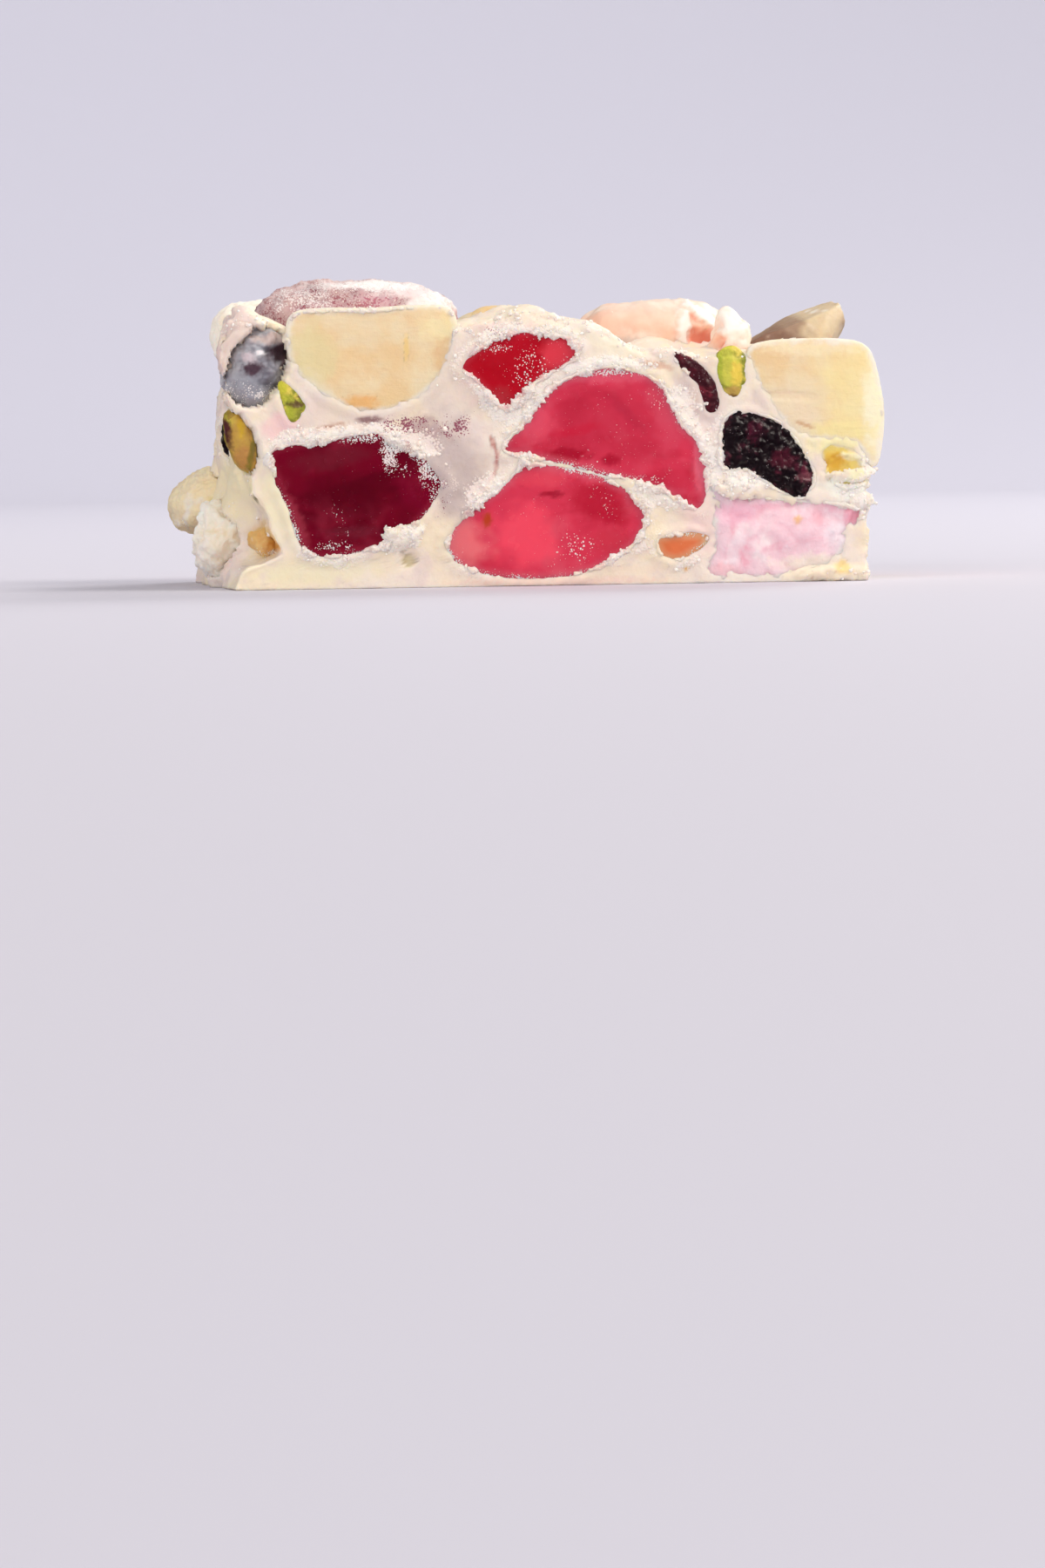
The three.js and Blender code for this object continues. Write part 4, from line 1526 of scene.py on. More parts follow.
    def around_cuts(self, points: Array, on: dict[Face, Array], covered: Array, crumble: Array) -> tuple[Array, ...]:
        """Measure how the chocolate lies round the cut pieces.

        Args:
            points: The block's vertices.
            on: Which of them lie on each cut face.
            covered: How much the chocolate laps over a piece there.
            crumble: How much wider and rougher the torn lips are there.

        Returns:
            How much each vertex is part of a torn rim, sinks behind a piece, is level with its lip, and is calm.
        """
        rim, pit, flush, calm = (np.zeros(len(points)) for _ in range(4))
        for cut in self.cuts:
            chosen = np.flatnonzero(on[cut.face])
            gap = cut.inside(cut.face.flat(points[chosen]))
            lip, seam = cut.kind.relief.lip, cut.kind.relief.seam
            rim[chosen] = np.maximum(rim[chosen], lip * np.exp(-((gap - 0.3) / 0.7) ** 2))
            clean = np.minimum(crumble[chosen], 0)
            ragged = 0.9 * (1 - lip) * seam * NOISE.rough(points[chosen] + 70, 0.9, 3)
            inner = gap + seam + ragged * (1 + np.maximum(clean, -1)) + 0.34 * clean
            sunken = 0.22 * eased(inner, 0.35, -0.6) + 0.78 * eased(inner, -0.5, -1.0)
            pit[chosen] = np.maximum(pit[chosen], sunken * (1 - eased(covered[chosen], 0.3, 0.5)))
            flush[chosen] = np.maximum(flush[chosen], eased(gap, Lip.slope, 0.0))
            calm[chosen] = np.maximum(calm[chosen], (1 - lip) * eased(gap, 1.2, 0.2))
        return rim, pit, flush, calm

    def painted(self, points: Array, normals: Array, marks: Marks, front: Array, left_end: list[Patch]) -> Array:
        """Lay the patches of the cut front, and those of the left end where the camera sees them.

        Args:
            points: The block's vertices.
            normals: Their outward ways.
            marks: The patches of the cut front.
            front: Which vertices lie on it.
            left_end: The patches of the left end.

        Returns:
            Red, green, blue and strength for each vertex.
        """
        tint = marks.tint()
        beyond = np.where(front, 0.0, eased(normals @ np.array(self.LEFT_WAY), 0.1, 0.5))
        seen, deep = Studio().seen(points), points[:, 1] + self.form.origin[1]
        for patch in left_end:
            reach = 5 * min(patch.across, patch.up)
            lay(tint, patch.cover(seen) * beyond * eased(deep, 2 * reach, reach), patch.colour)
        return tint

    def build(self, pantry: Pantry, patches: list[Patch], left_end: list[Patch]) -> bpy.types.Object:
        """Build the finished block, which replaces its node.

        Args:
            pantry: The materials.
            patches: The patches of the chocolate.
            left_end: The patches of its broken left end, placed where the camera sees them.

        Returns:
            The piece.
        """
        shares, faces = self.grid()
        points = self.rounded(self.place(shares), shares)
        points -= np.array([*self.form.origin, 0])
        on = {Face.FRONT: shares[:, 1] == 0, Face.BACK: shares[:, 1] == 1, Face.RIGHT: shares[:, 0] == 1}
        on_base = shares[:, 2] == 0
        fine = FineMesh.from_faces(points, faces.tolist())
        normals = fine.normals
        marks = Marks(patches, Face.FRONT.flat(points), on[Face.FRONT].astype(float))
        covered, crumble = marks.layer(Layer.COVER), marks.layer(Layer.CRUMBLE)
        torn = eased(points[:, 2], 5.0, 8.0) * eased(points[:, 2], 15.0, 11.0) * eased(shares[:, 1], 0.25, 0.0)
        ends = np.maximum(0.6 * eased(shares[:, 0], 0.012, 0.0), (0.9 + 1.6 * torn) * eased(shares[:, 0], 0.985, 1.0))
        top = eased(shares[:, 2], 0.97, 1.0)
        rise = 0.07 * NOISE.rough(points, 3.0, 3) + 0.03 * NOISE.rough(points + 9, 0.9, 2)
        rise += top * (0.16 * NOISE.rough(points + 20, 3.2, 3) + 0.06 * NOISE.creased(points, 1.1, 2))
        crest = eased(shares[:, 2], 0.93, 1.0) * eased(shares[:, 1], 0.06, 0.0)
        rise += crest * (0.3 * NOISE.creased(points + 5, 0.9, 3) - 0.08)
        rise += ends * (0.42 * NOISE.rough(points + 40, 2.0, 3) + 0.3 * NOISE.creased(points, 0.9, 3))
        rim, pit, flush, calm = self.around_cuts(points, on, covered, crumble)
        rise = rise * (1 - 0.85 * calm) + rim * (0.02 + 0.12 * NOISE.rough(points + 60, 0.8, 3))
        rise += (Lip.proud + Lip.lap) * flush
        rise += covered * (0.34 + 0.3 * NOISE.creased(points, 1.2, 3)) + marks.layer(Layer.RAISE)
        bare = self.windows(points)
        climb = self.meniscus(points) * (bare == 0)
        rise += np.where(on[Face.FRONT] | on_base, 0, self.CLIMB) * climb
        rise = np.where(on_base, 0, rise * eased(bare, 0.6, 0.1))
        points = points + normals * (rise - self.PIT * pit)[:, None] - Face.FRONT.outward * bare[:, None]
        points[:, 2] = np.maximum(points[:, 2], 0)
        fine.points = points
        cut_face = sum(mask.astype(float) for mask in on.values())
        wild = np.clip(0.45 + 0.9 * NOISE.rough(points, 3.6, 2) + crumble, 0, 1.3)
        dust = rim * wild * 0.6 + 0.4 * np.maximum(crumble, 0) * wild + 0.3 * ends + 0.25 * climb
        fine.paint("tint", self.painted(points, normals, marks, on[Face.FRONT], left_end))
        fine.number("speckle", marks.layer(Layer.SPECKLE))
        fine.number("dust", np.clip(np.maximum(dust, marks.layer(Layer.DUST)), 0, 1))
        loose = rim * wild * cut_face + np.maximum(crumble, 0) * 0.8 + 0.35 * ends + 0.06 * top + covered + crest
        fine.number("crumbs", np.clip(loose, 0, 1.2) * (1 - pit) * above_ground(points))
        fine.changed(self.flatten_base)
        return fine.placed("chocolate_block", pantry.material(ChocolateFinish()), "chocolate", "chocolate")

    def flatten_base(self, form: bmesh.types.BMesh) -> None:
        """Turn the flat base's many squares into one face."""
        flat = [face for face in form.faces if all(vertex.co.z < self.BASE_LEVEL for vertex in face.verts)]
        bmesh.ops.dissolve_faces(form, faces=flat, use_verts=True)


@dataclass
class Scatter:
    """Loose bits that lie on a piece where it keeps a number for them, made by Geometry Nodes."""

    number: str
    density: float
    smallest: float
    largest: float
    seed: int
    sharpness: float = 2.0
    many_small: float = 2.5
    lump: float = 0.16
    centre: float = 0.5
    narrow: Triple = (0.6, 0.6, 0.45)
    wide: Triple = (1.3, 1.1, 1.0)
    made: tuple | None = None

    def tree(self, material: bpy.types.Material) -> tuple[bpy.types.NodeTree, dict[str, str]]:
        """Build the node tree.

        Args:
            material: What the bits are made of.

        Returns:
            The tree, and the identifier of each named input.
        """
        tree = bpy.data.node_groups.new("scatter", "GeometryNodeTree")
        kinds = {"Geometry": "Geometry", "Density": "Float", "Smallest": "Float", "Largest": "Float", "Seed": "Int"}
        keys = {name: tree.interface.new_socket(name=name, in_out="INPUT", socket_type="NodeSocket" + kind).identifier
                for name, kind in kinds.items()}
        tree.interface.new_socket(name="Geometry", in_out="OUTPUT", socket_type="NodeSocketGeometry")
        add = Graph(tree).node
        given = add("NodeGroupInput").outputs

        def drawn(data_type: str, output: int, limits: dict) -> bpy.types.NodeSocket:
            """Draw a random number or vector for each bit."""
            limits["Seed"] = given["Seed"]
            return add("FunctionNodeRandomValue", {"data_type": data_type}, limits).outputs[output]

        def worked(operation: str, first: bpy.types.NodeSocket, second: object) -> bpy.types.NodeSocket:
            """Add a Math node."""
            return add("ShaderNodeMath", {"operation": operation}, {0: first, 1: second}).outputs[0]

        def scaled(vector: bpy.types.NodeSocket, scale: bpy.types.NodeSocket) -> bpy.types.NodeSocket:
            """Scale a vector."""
            return add("ShaderNodeVectorMath", {"operation": "SCALE"}, {0: vector, "Scale": scale}).outputs[0]

        kept = add("GeometryNodeInputNamedAttribute", {"data_type": "FLOAT"}, {"Name": self.number})
        thick = worked("MULTIPLY", worked("POWER", kept.outputs["Attribute"], self.sharpness), given["Density"])
        spread = add("GeometryNodeDistributePointsOnFaces", None,
                     {"Mesh": given["Geometry"], "Density": thick, "Seed": given["Seed"]})
        bit = add("GeometryNodeMeshIcoSphere", None, {"Radius": 1.0, "Subdivisions": 1})
        turn = drawn("FLOAT_VECTOR", 0, {"Min": (0.0, 0.0, 0.0), "Max": (math.tau,) * 3})
        small = worked("POWER", drawn("FLOAT", 1, {2: 0.0, 3: 1.0}), self.many_small)
        scale = add("ShaderNodeMapRange", None,
                    {"Value": small, "To Min": given["Smallest"], "To Max": given["Largest"]})
        shape = drawn("FLOAT_VECTOR", 0, {"Min": self.narrow, "Max": self.wide})
        placed = add("GeometryNodeInstanceOnPoints", None,
                     {"Points": spread.outputs["Points"], "Instance": bit.outputs["Mesh"],
                      "Rotation": turn, "Scale": scaled(shape, scale.outputs[0])})
        real = add("GeometryNodeRealizeInstances", None, {"Geometry": placed.outputs["Instances"]})
        lump = add("ShaderNodeTexNoise", {"noise_dimensions": "3D"}, {"Scale": 1 / (self.lump * MM), "Detail": 1.0})
        centred = add("ShaderNodeVectorMath", {"operation": "SUBTRACT"},
                      {0: lump.outputs["Color"], 1: (self.centre,) * 3})
        bent = add("GeometryNodeSetPosition", None,
                   {"Geometry": real.outputs[0], "Offset": scaled(centred.outputs[0], given["Smallest"])})
        dressed = add("GeometryNodeSetMaterial", None, {"Geometry": bent.outputs[0], "Material": material})
        add("NodeGroupOutput", None, {"Geometry": dressed.outputs[0]})
        return tree, keys

    def over(self, surface: bpy.types.Object, material: bpy.types.Material, slot: str) -> None:
        """Scatter the bits over a piece and keep them as a plain mesh, where there are any.

        Args:
            surface: The piece that they lie on.
            material: What they are made of.
            slot: The record's material slot.
        """
        self.made = self.made or self.tree(material)
        tree, keys = self.made
        carrier = added("carrier", surface.data.copy())
        modifier = carrier.modifiers.new("scatter", "NODES")
        modifier.node_group = tree
        settings = {"Density": self.density / MM**2, "Smallest": self.smallest * MM, "Largest": self.largest * MM,
                    "Seed": self.seed}
        for name, value in settings.items():
            modifier[keys[name]] = value
        mesh = plain(carrier)
        if mesh.polygons:
            shown(surface.name + "_bits", mesh, material, slot)


@dataclass(frozen=True)
class Studio:
    """The camera at the photograph's viewing angle, with soft lights, a pale floor and a pale wall."""

    azimuth: float = -9.0
    elevation: float = 3.88
    roll: float = -0.67
    distance: float = 495.8
    target: Triple = (-2.033, -17.0, -19.069)
    lens: float = 118.06
    floor: Colour = (212, 211, 224)
    air: Colour = (244, 240, 238)
    air_light: float = 0.6
    spread: float = 100.0

    def back(self) -> Vector:
        """Give the way from the slice to the camera."""
        around, above = math.radians(self.azimuth), math.radians(self.elevation)
        return Vector((math.sin(around) * math.cos(above), -math.cos(around) * math.cos(above), math.sin(above)))

    def seen(self, points: Array) -> Array:
        """Give where in the plane of the cut front the camera sees points, as right and up in millimetres."""
        eye = np.array(Vector(self.target) + self.back() * self.distance)
        share = (self.target[1] - eye[1]) / (points[:, 1] - eye[1])
        return (eye + share[:, None] * (points - eye))[:, [0, 2]]

    def camera(self) -> None:
        """Place the camera and make it the scene's own."""
        back = self.back()
        data = bpy.data.cameras.new("camera")
        data.lens = self.lens
        data.clip_start, data.clip_end = 0.01, 20
        camera = added("camera", data)
        camera.location = (Vector(self.target) + back * self.distance) * MM
        turn = (-back).to_track_quat("-Z", "Y") @ Matrix.Rotation(math.radians(self.roll), 3, "Z").to_quaternion()
        camera.rotation_euler = turn.to_euler()
        bpy.context.scene.camera = camera

    def light(self, name: str, place: Triple, size: float, power: float, colour: Colour,
              mirrored: bool = True, aim: Triple = (0, 0, 0.012)) -> None:
        """Add a soft square light that faces the slice or another place.

        Args:
            name: The light's name.
            place: Where it hangs, in metres.
            size: Its side, in metres.
            power: Its power in watts.
            colour: Its colour.
            mirrored: Whether glossy surfaces mirror it.
            aim: The place that it faces, in metres.
        """
        data = bpy.data.lights.new(name, "AREA")
        data.size = size
        data.energy = power
        data.color = linear(colour)[:3]
        data.spread = math.radians(self.spread)
        lamp = added(name, data)
        lamp.location = place
        lamp.rotation_euler = (Vector(aim) - Vector(place)).to_track_quat("-Z", "Y").to_euler()
        lamp.visible_glossy = mirrored

    def room(self) -> None:
        """Add the floor that sweeps up into the wall."""
        width, front, back, radius, height = 3.0, -1.5, 1.2, 0.5, 2.5
        profile = [(front, 0.0), (back - radius, 0.0)]
        profile += [(back - radius + radius * math.sin(t), radius - radius * math.cos(t))
                    for t in np.linspace(0, math.pi / 2, 24)]
        profile.append((back, height))
        points = [(side * width, y, z) for y, z in profile for side in (-1, 1)]
        faces = [[2 * i, 2 * i + 1, 2 * i + 3, 2 * i + 2] for i in range(len(profile) - 1)]
        mesh = bpy.data.meshes.new("room")
        mesh.from_pydata(points, [], faces)
        mesh.polygons.foreach_set("use_smooth", [True] * len(mesh.polygons))
        mesh.materials.append(Shader("pale_room").surface(linear(self.floor), 0.8))
        room = added("room", mesh)
        room.visible_glossy = False

    def build(self) -> None:
        """Build the camera, the lights and the room."""
        self.camera()
        self.light("key", (0.9, -0.5, 1.0), 0.7, 3.4, (255, 248, 238))
        self.light("rim", (0.8, 0.8, 0.7), 0.6, 2.5, (255, 250, 242))
        self.light("fill", (-0.9, -1.2, 0.6), 1.0, 2.9, (255, 251, 247), mirrored=False)
        self.light("wall", (0.0, 0.25, 1.3), 1.2, 2.3, (248, 249, 255), mirrored=False, aim=(0, 1.2, 0.1))
        world = bpy.data.worlds.new("air")
        world.use_nodes = True
        world.cycles_visibility.glossy = False
        backdrop = world.node_tree.nodes["Background"]
        backdrop.inputs["Color"].default_value = linear(self.air)
        backdrop.inputs["Strength"].default_value = self.air_light
        bpy.context.scene.world = world
        bpy.context.scene.view_settings.view_transform = "Standard"
        self.room()


def photographed_marks() -> dict[str, list[Patch]]:
    """Name the patches of colour, dust and crumbs on each piece, as the photograph shows them.

    Returns:
        The patches of each piece. A bare row here is a patch of paint.
    """
    dust, grains, speckle = Layer.DUST.at, Layer.GRAINS.at, Layer.SPECKLE.at
    crumble, cover, raised = Layer.CRUMBLE.at, Layer.COVER.at, Layer.RAISE.at
    rows = {
        "jelly_burgundy": [
            (-20.5, 12.4, 3.9, 1.2, (118, 26, 44), 0.7, 8), (-23.5, 6.4, 2.9, 0.7, (160, 50, 70), 0.8, -70),
            (-18.5, 8.8, 4.2, 2.4, (92, 0, 22), 0.6), (-11.8, 9.6, 2.2, 2.0, (132, 0, 42), 0.6),
            # painted reflection: the paler, greyer band along the low raised ridge
            (-18.5, 5.4, 3.0, 0.6, (112, 38, 54), 0.45),
            dust(-12.8, 14.0, 2.9, 1.5, 0.9), dust(-10.6, 11.6, 1.5, 2.4, 0.65), dust(-14.5, 12.8, 0.8, 1.9, 0.75),
            dust(-17.5, 14.4, 2.5, 0.6, 0.6), dust(-19.9, 4.1, 2.2, 0.5, 0.5), dust(-10.0, 8.4, 0.9, 2.6, 0.5),
            grains(-19.9, 7.2, 1.2, 1.2, 0.5), grains(-19.1, 5.3, 0.7, 0.8, 0.5), grains(-13.3, 11.3, 1.2, 0.8, 0.8),
            raised(-17.8, 5.0, 3.2, 0.5, 0.12, -3),
        ],
        "jelly_ruby": [
            (-3.9, 20.7, 3.0, 2.0, (184, 6, 30), 0.8), (1.9, 22.1, 1.7, 1.5, (230, 68, 84), 0.85),
            (-3.7, 18.1, 1.5, 1.0, (178, 44, 54), 0.7),
            grains(-1.0, 20.7, 1.5, 2.4, 0.9), grains(-3.9, 23.0, 2.0, 0.7, 0.5), dust(-4.9, 22.8, 2.2, 0.5, 0.4),
        ],
        "jelly_rose_upper": [
            (8.0, 15.4, 7.0, 4.0, (196, 42, 70), 0.55), (-0.6, 15.8, 2.5, 1.9, (240, 92, 116), 0.6),
            (8.1, 16.2, 2.7, 0.9, (200, 44, 74), 0.6, -48), (2.6, 12.6, 2.2, 0.8, (176, 8, 44), 0.9),
            (7.0, 12.0, 1.1, 0.6, (178, 12, 48), 0.85), (3.9, 14.9, 2.5, 0.5, (208, 28, 62), 0.65, 10),
            (13.0, 16.1, 1.7, 3.0, (224, 86, 110), 0.5), (11.2, 8.3, 3.6, 0.8, (198, 28, 60), 0.75, -25),
            (15.7, 11.6, 0.7, 2.5, (244, 116, 138), 0.65), (6.9, 20.0, 4.4, 0.7, (238, 108, 130), 0.5),
            grains(11.8, 18.1, 1.4, 1.5, 0.7), grains(4.9, 11.7, 0.6, 1.2, 0.9), grains(9.4, 10.0, 3.7, 0.5, 0.6),
            dust(6.1, 20.4, 5.1, 0.4, 0.6), dust(13.5, 17.6, 0.7, 2.2, 0.5), dust(6.8, 10.3, 5.1, 0.3, 0.4),
            raised(8.3, 16.4, 3.0, 0.6, -0.12, -48),
        ],
        "jelly_rose_lower": [
            # painted glow: the bright patch in the lower middle, as light shining through the jelly
            (-1.5, 4.8, 3.4, 2.9, (250, 84, 108), 0.8), (-7.3, 4.0, 2.4, 2.2, (240, 122, 128), 0.85),
            (0.0, 10.4, 2.9, 1.0, (236, 78, 98), 0.6), (6.1, 7.7, 2.7, 2.2, (190, 20, 52), 0.85, -30),
            (6.9, 4.1, 2.2, 1.4, (206, 54, 76), 0.7), (1.0, 8.8, 1.3, 0.3, (168, 18, 48), 0.85),
            (-5.2, 6.4, 0.5, 0.7, (190, 70, 30), 0.95),
            grains(3.7, 3.7, 2.4, 1.4, 0.7), grains(5.9, 8.3, 1.5, 1.7, 0.4), grains(-3.0, 1.1, 0.6, 0.4, 0.9),
        ],
        "jelly_orange": [(16.5, 3.7, 0.7, 0.9, (250, 206, 178), 0.75)],
        "macadamia_left": [
            (-21.8, 22.2, 2.2, 3.6, (232, 220, 170), 0.7), (-21.2, 18.2, 3.0, 1.6, (243, 230, 200), 0.85, -45),
            (-9.0, 24.9, 2.6, 1.6, (252, 238, 188), 0.6), (-9.1, 21.8, 1.1, 2.2, (228, 182, 128), 0.55),
            (-12.8, 23.0, 0.3, 1.3, (242, 208, 128), 0.7), (-17.3, 17.7, 1.9, 0.8, (240, 186, 118), 0.9),
            (-17.3, 16.9, 1.5, 0.3, (168, 96, 54), 0.8), (-12.1, 17.8, 2.0, 0.3, (204, 154, 96), 0.65, 12),
        ],
        "macadamia_right": [
            # painted light: the yellow right half and the near-white strip at the right edge, as if lit through from
            # the right
            (31.6, 18.3, 4.2, 6.0, (254, 236, 172), 0.6), (33.1, 16.5, 1.4, 5.6, (255, 248, 222), 0.75),
            (22.8, 18.3, 1.9, 0.2, (226, 194, 164), 0.5), (26.8, 22.5, 5.3, 0.7, (254, 240, 204), 0.6),
            (29.8, 14.6, 3.4, 1.0, (250, 232, 168), 0.7), (24.6, 16.4, 3.0, 2.4, (242, 222, 196), 0.5, -45),
            (26.0, 15.2, 1.0, 0.25, (200, 146, 96), 0.6, -20), raised(24.5, 18.0, 3.0, 0.5, -0.12, -3),
        ],
        "macadamia_chip": [
            (29.6, 11.4, 2.6, 2.2, (244, 214, 110), 0.9), (28.9, 11.6, 1.3, 1.1, (236, 184, 62), 0.95),
            (30.6, 9.8, 1.3, 0.7, (214, 196, 90), 0.7), (30.6, 12.0, 1.3, 0.4, (255, 240, 196), 0.8, -12),
            raised(29.2, 11.3, 1.2, 0.9, -0.35), raised(30.8, 12.1, 1.2, 0.3, 0.25, -12),
        ],
        "pistachio_right": [
            (18.4, 20.8, 1.0, 2.4, (216, 214, 84), 0.8), (17.7, 20.9, 0.3, 1.7, (176, 188, 56), 0.8),
            (19.3, 20.2, 0.6, 1.3, (246, 212, 84), 0.8), (19.0, 18.5, 0.8, 0.6, (190, 140, 80), 0.7),
            (19.1, 17.9, 0.5, 0.3, (104, 56, 30), 0.8),
        ],
        "pistachio_chip": [
            (-24.9, 19.1, 0.7, 1.0, (208, 202, 60), 0.95), (-23.7, 17.6, 0.8, 0.35, (104, 80, 44), 0.9),
            (-24.4, 16.7, 0.9, 0.7, (186, 192, 56), 0.9),
        ],
        "cranberry_black": [
            (23.8, 11.8, 1.3, 1.0, (96, 12, 42), 0.7), (21.2, 14.7, 0.9, 0.9, (72, 18, 40), 0.55),
            (22.4, 8.9, 0.7, 0.8, (112, 14, 40), 0.75), (26.1, 10.1, 1.0, 0.5, (160, 84, 98), 0.5),
        ],
        "marshmallow_pink": [
            (19.6, 6.6, 2.5, 1.2, (246, 190, 208), 0.7), (24.1, 5.6, 3.2, 1.9, (244, 204, 214), 0.65),
            (19.0, 3.1, 2.2, 0.8, (254, 234, 238), 0.65, 70), (30.7, 6.3, 1.0, 1.2, (242, 154, 172), 0.85),
            (27.2, 6.5, 0.8, 1.2, (244, 176, 188), 0.55), (29.1, 4.7, 1.3, 1.2, (254, 232, 238), 0.75),
            (27.3, 1.6, 4.6, 1.1, (254, 232, 216), 0.85), (22.1, 1.0, 4.2, 0.7, (250, 208, 216), 0.5),
            (25.2, 6.0, 0.4, 0.5, (248, 196, 140), 0.85), (17.8, 1.2, 1.7, 0.8, (246, 188, 194), 0.65),
            raised(24.5, 5.0, 3.4, 2.0, 0.3), raised(29.6, 5.5, 2.0, 0.5, 0.25, 55),
        ],
        "chocolate": [
            (-27.5, 25.3, 4.1, 1.4, (228, 206, 198), 0.75), (-29.9, 22.9, 1.2, 4.4, (228, 208, 200), 0.65),
            (-9.0, 19.5, 3.4, 5.0, (228, 214, 206), 0.6), (-19.5, 16.4, 6.5, 1.8, (236, 220, 208), 0.6),
            (-24.7, 15.6, 2.0, 1.6, (246, 208, 206), 0.8), (-21.3, 15.2, 2.5, 0.3, (188, 142, 124), 0.85, 13),
            (-25.3, 8.1, 2.0, 4.7, (244, 236, 204), 0.6), (-16.4, 16.1, 1.3, 0.4, (124, 60, 74), 0.75),
            (-8.4, 11.4, 3.2, 5.6, (204, 188, 184), 0.9), (-11.4, 14.8, 2.4, 1.6, (190, 162, 162), 0.85),
            (2.0, 20.6, 3.6, 3.0, (236, 222, 212), 0.6), (-4.5, 13.7, 0.2, 0.9, (190, 96, 88), 0.75, 14),
            (-4.2, 12.0, 0.2, 1.0, (186, 92, 84), 0.75, -8), (-4.7, 10.4, 1.0, 0.2, (190, 90, 76), 0.75, 57),
            (-5.9, 9.0, 0.9, 0.2, (190, 90, 76), 0.75, 35), (-12.9, 2.6, 0.8, 0.8, (206, 190, 124), 0.55),
            (-1.5, 25.1, 5.4, 1.0, (246, 232, 214), 0.6), (7.3, 22.9, 5.3, 0.8, (253, 238, 216), 0.75, -22),
            # painted shadow: the tan line at (11.4, 21.1) under the cream ridge above the upper rose jelly
            (11.4, 21.1, 2.0, 0.4, (226, 184, 158), 0.7, -12), (15.9, 18.0, 2.4, 4.1, (222, 204, 198), 0.75),
            (10.2, 23.2, 1.9, 0.5, (210, 194, 182), 0.65, -10), (20.1, 9.8, 2.0, 1.0, (254, 244, 238), 0.85),
            (30.5, 9.0, 2.7, 1.2, (255, 250, 234), 0.85), (28.2, 1.0, 5.4, 1.0, (254, 234, 208), 0.75),
            (29.6, 1.4, 0.8, 0.8, (254, 220, 140), 0.75), (14.2, 1.5, 0.3, 0.3, (232, 176, 66), 0.9),
            (15.5, 5.9, 2.2, 3.2, (248, 218, 212), 0.65), (1.6, 0.4, 11.0, 0.5, (244, 208, 192), 0.55),
            (-22.0, 1.7, 7.1, 1.2, (242, 234, 200), 0.6), (6.7, 1.4, 5.4, 0.8, (248, 230, 204), 0.6),
            speckle(-8.0, 15.4, 1.9, 1.3, 0.95), speckle(-8.2, 13.0, 0.8, 1.0, 0.4), speckle(-9.6, 9.1, 0.9, 3.4, 0.6),
            speckle(-13.0, 15.6, 3.2, 1.0, 0.95), speckle(-3.9, 24.3, 1.6, 0.8, 0.6),
            speckle(-6.0, 18.5, 0.8, 2.4, 0.4), speckle(-18.6, 3.2, 2.2, 0.7, 0.5),
            crumble(-21.0, 14.5, 5.3, 1.0, 0.9), crumble(-13.7, 4.8, 2.9, 1.5, 1.0), crumble(-4.6, 8.6, 2.9, 2.2, 1.0),
            crumble(-1.6, 17.1, 4.6, 1.7, 0.8), crumble(6.9, 21.2, 7.6, 0.8, 0.5), crumble(14.7, 16.8, 1.9, 3.7, 1.0),
            crumble(-1.5, 23.9, 5.9, 1.0, 0.7), crumble(12.3, 8.4, 3.7, 1.2, 0.8), crumble(20.1, 9.8, 2.5, 1.2, 0.9),
            crumble(30.8, 8.8, 2.5, 1.4, 1.0), crumble(-12.0, 14.0, 3.0, 1.6, 0.9), crumble(-15.6, 26.4, 9.0, 0.6, 0.7),
            crumble(32.8, 8.2, 1.2, 3.4, 0.9), crumble(17.0, 12.5, 1.6, 4.0, 0.8),
            crumble(10.8, 8.6, 2.4, 0.8, 0.9, -24),
            (16.4, 12.0, 1.6, 4.6, (248, 232, 224), 0.7), (-5.6, 20.8, 2.0, 3.0, (236, 206, 204), 0.7),
            (-3.0, 24.6, 4.0, 0.8, (240, 214, 210), 0.6),
            speckle(-3.2, 24.0, 2.6, 0.7, 0.5), speckle(-6.4, 21.4, 0.9, 1.6, 0.35), speckle(-4.0, 13.5, 0.9, 2.0, 0.4),
            crumble(-24.4, 7.2, 1.9, 4.7, -1.0), crumble(3.4, 11.2, 6.2, 1.1, -1.0, -20),
            crumble(-0.1, 0.5, 10.2, 0.9, -0.9), crumble(-9.0, 2.9, 2.2, 2.5, -0.8),
            crumble(15.6, 4.0, 3.0, 1.6, -1.0), crumble(16.3, 19.2, 2.6, 3.6, -1.0),
            crumble(-24.3, 17.9, 1.6, 2.4, -1.0),
            crumble(32.6, 12.6, 1.8, 2.0, -1.0), crumble(24.8, 4.6, 7.5, 3.6, -0.5),
            (29.6, 13.4, 3.4, 1.4, (250, 236, 182), 0.85), (31.8, 10.6, 1.4, 2.0, (252, 240, 196), 0.8),
            cover(-13.4, 5.1, 1.9, 1.0, 1.0), cover(19.5, 9.0, 2.4, 1.1, 1.0), cover(29.0, 0.8, 3.9, 0.7, 0.9),
            cover(30.7, 10.3, 2.5, 0.7, 0.7), raised(-12.9, 2.8, 0.8, 0.9, -0.6), raised(-8.0, 11.5, 2.6, 3.4, 0.2),
        ],
        "coated_berry": [
            (-27.9, 18.9, 1.7, 2.4, (150, 150, 160), 0.7), (-25.6, 23.9, 2.2, 0.6, (208, 188, 182), 0.85),
            (-24.8, 22.6, 1.6, 1.1, (54, 28, 38), 0.95), (-27.5, 21.1, 1.1, 0.6, (80, 50, 64), 0.9),
            (-24.0, 21.3, 0.8, 1.0, (104, 84, 94), 0.75), (-26.8, 22.6, 0.5, 0.3, (246, 244, 246), 0.9),
            (-27.8, 22.1, 0.8, 0.5, (220, 206, 210), 0.85), (-27.0, 16.7, 1.4, 1.0, (204, 200, 196), 0.6),
        ],
        "left_pistachio": [
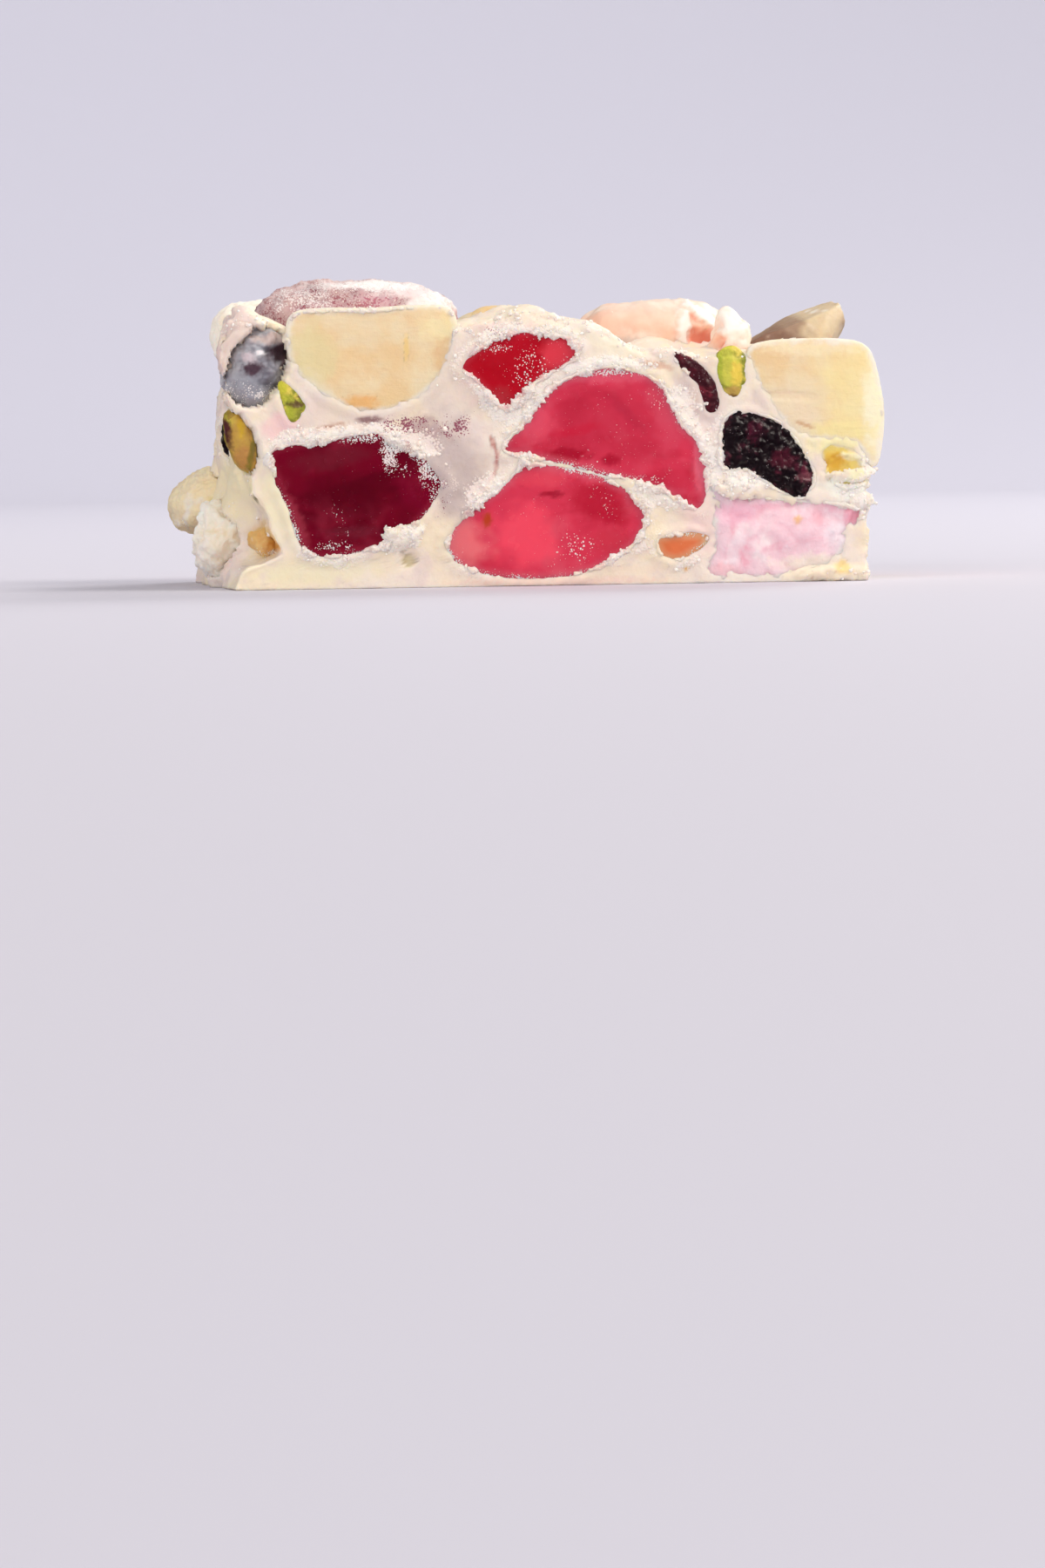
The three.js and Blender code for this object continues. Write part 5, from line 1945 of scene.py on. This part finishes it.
            (-28.5, 13.8, 2.0, 3.6, (206, 160, 74), 0.9), (-28.3, 12.6, 1.0, 1.2, (202, 144, 78), 0.8),
            (-28.6, 15.8, 0.4, 1.2, (222, 182, 44), 0.85), (-27.5, 13.6, 0.35, 2.6, (132, 122, 34), 0.85, -14),
            (-30.3, 15.4, 0.7, 2.4, (88, 30, 44), 0.97, 8), (-30.4, 15.2, 0.3, 0.5, (176, 138, 156), 0.85),
        ],
        "left_macadamia": [
            (-31.0, 9.6, 4.0, 4.0, (248, 234, 200), 0.6), (-28.4, 10.9, 0.5, 0.5, (206, 158, 118), 0.8),
            (-29.4, 8.3, 0.9, 0.5, (222, 206, 140), 0.75),
        ],
        "left_end": [
            (-30.1, 9.8, 3.4, 3.8, (250, 234, 196), 0.9), (-31.0, 4.0, 2.2, 3.4, (246, 230, 224), 0.8),
            (-26.5, 4.8, 1.6, 1.5, (226, 184, 108), 0.85, -30), (-25.6, 4.2, 0.6, 0.6, (206, 138, 52), 0.9),
            (-30.5, 11.1, 0.5, 0.4, (206, 158, 118), 0.8), (-29.6, 7.9, 0.7, 0.5, (212, 160, 108), 0.8),
            (-31.3, 8.7, 1.0, 0.5, (226, 210, 140), 0.75), (-27.4, 9.4, 0.3, 2.4, (96, 84, 40), 0.85, -3),
            (-31.2, 20.5, 1.4, 4.5, (230, 206, 200), 0.85), (-28.0, 25.6, 4.4, 1.8, (230, 210, 204), 0.85),
        ],
        "left_macadamia_chip": [
            (-26.6, 5.0, 2.6, 2.2, (226, 178, 104), 0.9, -30), (-25.6, 4.0, 0.9, 1.0, (206, 142, 60), 0.85),
        ],
        "top_jelly": [
            (-19.2, 27.0, 3.7, 0.9, (168, 92, 108), 0.85), (-14.6, 27.6, 2.2, 0.9, (194, 124, 140), 0.85),
            (-8.6, 27.6, 2.9, 1.7, (248, 238, 236), 0.95), (-11.3, 28.6, 3.6, 0.7, (236, 216, 216), 0.8),
            (-14.7, 29.3, 5.4, 0.5, (253, 246, 243), 0.85), (-12.9, 26.6, 2.2, 0.5, (204, 144, 156), 0.65),
            dust(-21.5, 27.6, 3.4, 1.6, 0.6), dust(-14.0, 29.2, 7.0, 0.7, 0.7), grains(-17.0, 27.6, 6.0, 1.6, 0.9),
        ],
        "top_marshmallow": [
            (9.1, 25.3, 3.0, 1.2, (246, 194, 170), 0.75), (12.8, 25.9, 3.6, 1.4, (249, 208, 186), 0.75),
            # painted shade: the salmon patch in the pressed fold; painted highlights: the near-white patches on the
            # raised folds
            (18.7, 23.8, 2.4, 0.9, (240, 150, 128), 0.95, -10), (19.1, 25.7, 2.9, 0.6, (255, 250, 246), 0.95, -35),
            (16.5, 24.8, 0.8, 1.9, (254, 244, 238), 0.85), (10.8, 23.4, 1.9, 0.7, (214, 192, 180), 0.75),
            raised(19.0, 25.6, 3.0, 0.6, 0.5, -35), raised(16.5, 24.8, 0.8, 1.9, 0.35),
            raised(18.8, 23.8, 2.4, 0.9, -0.6, -10),
        ],
        "top_marshmallow_bit": [(20.6, 24.6, 1.4, 2.0, (255, 248, 240), 0.95)],
        "top_nut_right": [
            # painted shade: the dark taupe patches on the left facet; painted light: the cream patch on the right end,
            # as its lit side
            (24.8, 23.4, 4.4, 2.4, (140, 108, 92), 0.95, 29), (27.2, 25.4, 1.4, 1.8, (176, 150, 128), 0.8),
            (30.4, 25.2, 2.2, 3.4, (226, 206, 172), 0.95),
        ],
        "top_macadamia": [(-3.0, 26.5, 2.7, 0.3, (236, 198, 142), 0.85)],
    }
    return {node: [Patch(*row) if isinstance(row, tuple) else row for row in patches]
            for node, patches in rows.items()}


def main() -> None:
    """Build the slice piece by piece, then the studio round it."""
    logging.basicConfig(level=logging.INFO, format="%(message)s")
    pantry = Pantry()
    Studio().build()
    marks = photographed_marks()
    faces = {"back_": Face.BACK, "right_": Face.RIGHT}
    cuts, wholes = [], []
    for node in sorted(frame["nodes"]):
        if node == "chocolate":
            continue
        if node.startswith(("top_", "left_", "coated_")):
            wholes.append(WholePiece(node))
        else:
            face = next((face for start, face in faces.items() if node.startswith(start)), Face.FRONT)
            cuts.append(CutPiece(node, face))
    crumbs = pantry.material(CrumbFinish("chocolate_crumbs", (253, 246, 238), (248, 232, 222)))
    loose = Scatter("crumbs", density=3.6, smallest=0.05, largest=0.3, seed=5)
    on_lips = Scatter("crumbs", density=15.0, smallest=0.03, largest=0.15, seed=8)
    sugar = Scatter("crumbs", density=7.0, smallest=0.025, largest=0.09, seed=12)
    block = ChocolateBlock(BlockForm(), cuts, wholes).build(pantry, marks["chocolate"], marks["left_end"])
    loose.over(block, crumbs, "chocolate")
    for cut in cuts:
        piece = cut.build(pantry, marks.get(cut.node, []))
        lip = Lip(cut).build(pantry, marks["chocolate"] if cut.face is Face.FRONT else [])
        on_lips.over(lip, crumbs, "chocolate")
        if cut.kind.is_jelly:
            sugar.over(piece, crumbs, "chocolate")
    for whole in wholes:
        piece = whole.build(pantry, marks.get(whole.node, []))
        if whole.kind in (Kind.FROSTED, Kind.PEACH_FOAM):
            sugar.over(piece, crumbs, "chocolate")


if __name__ == "__main__":
    main()
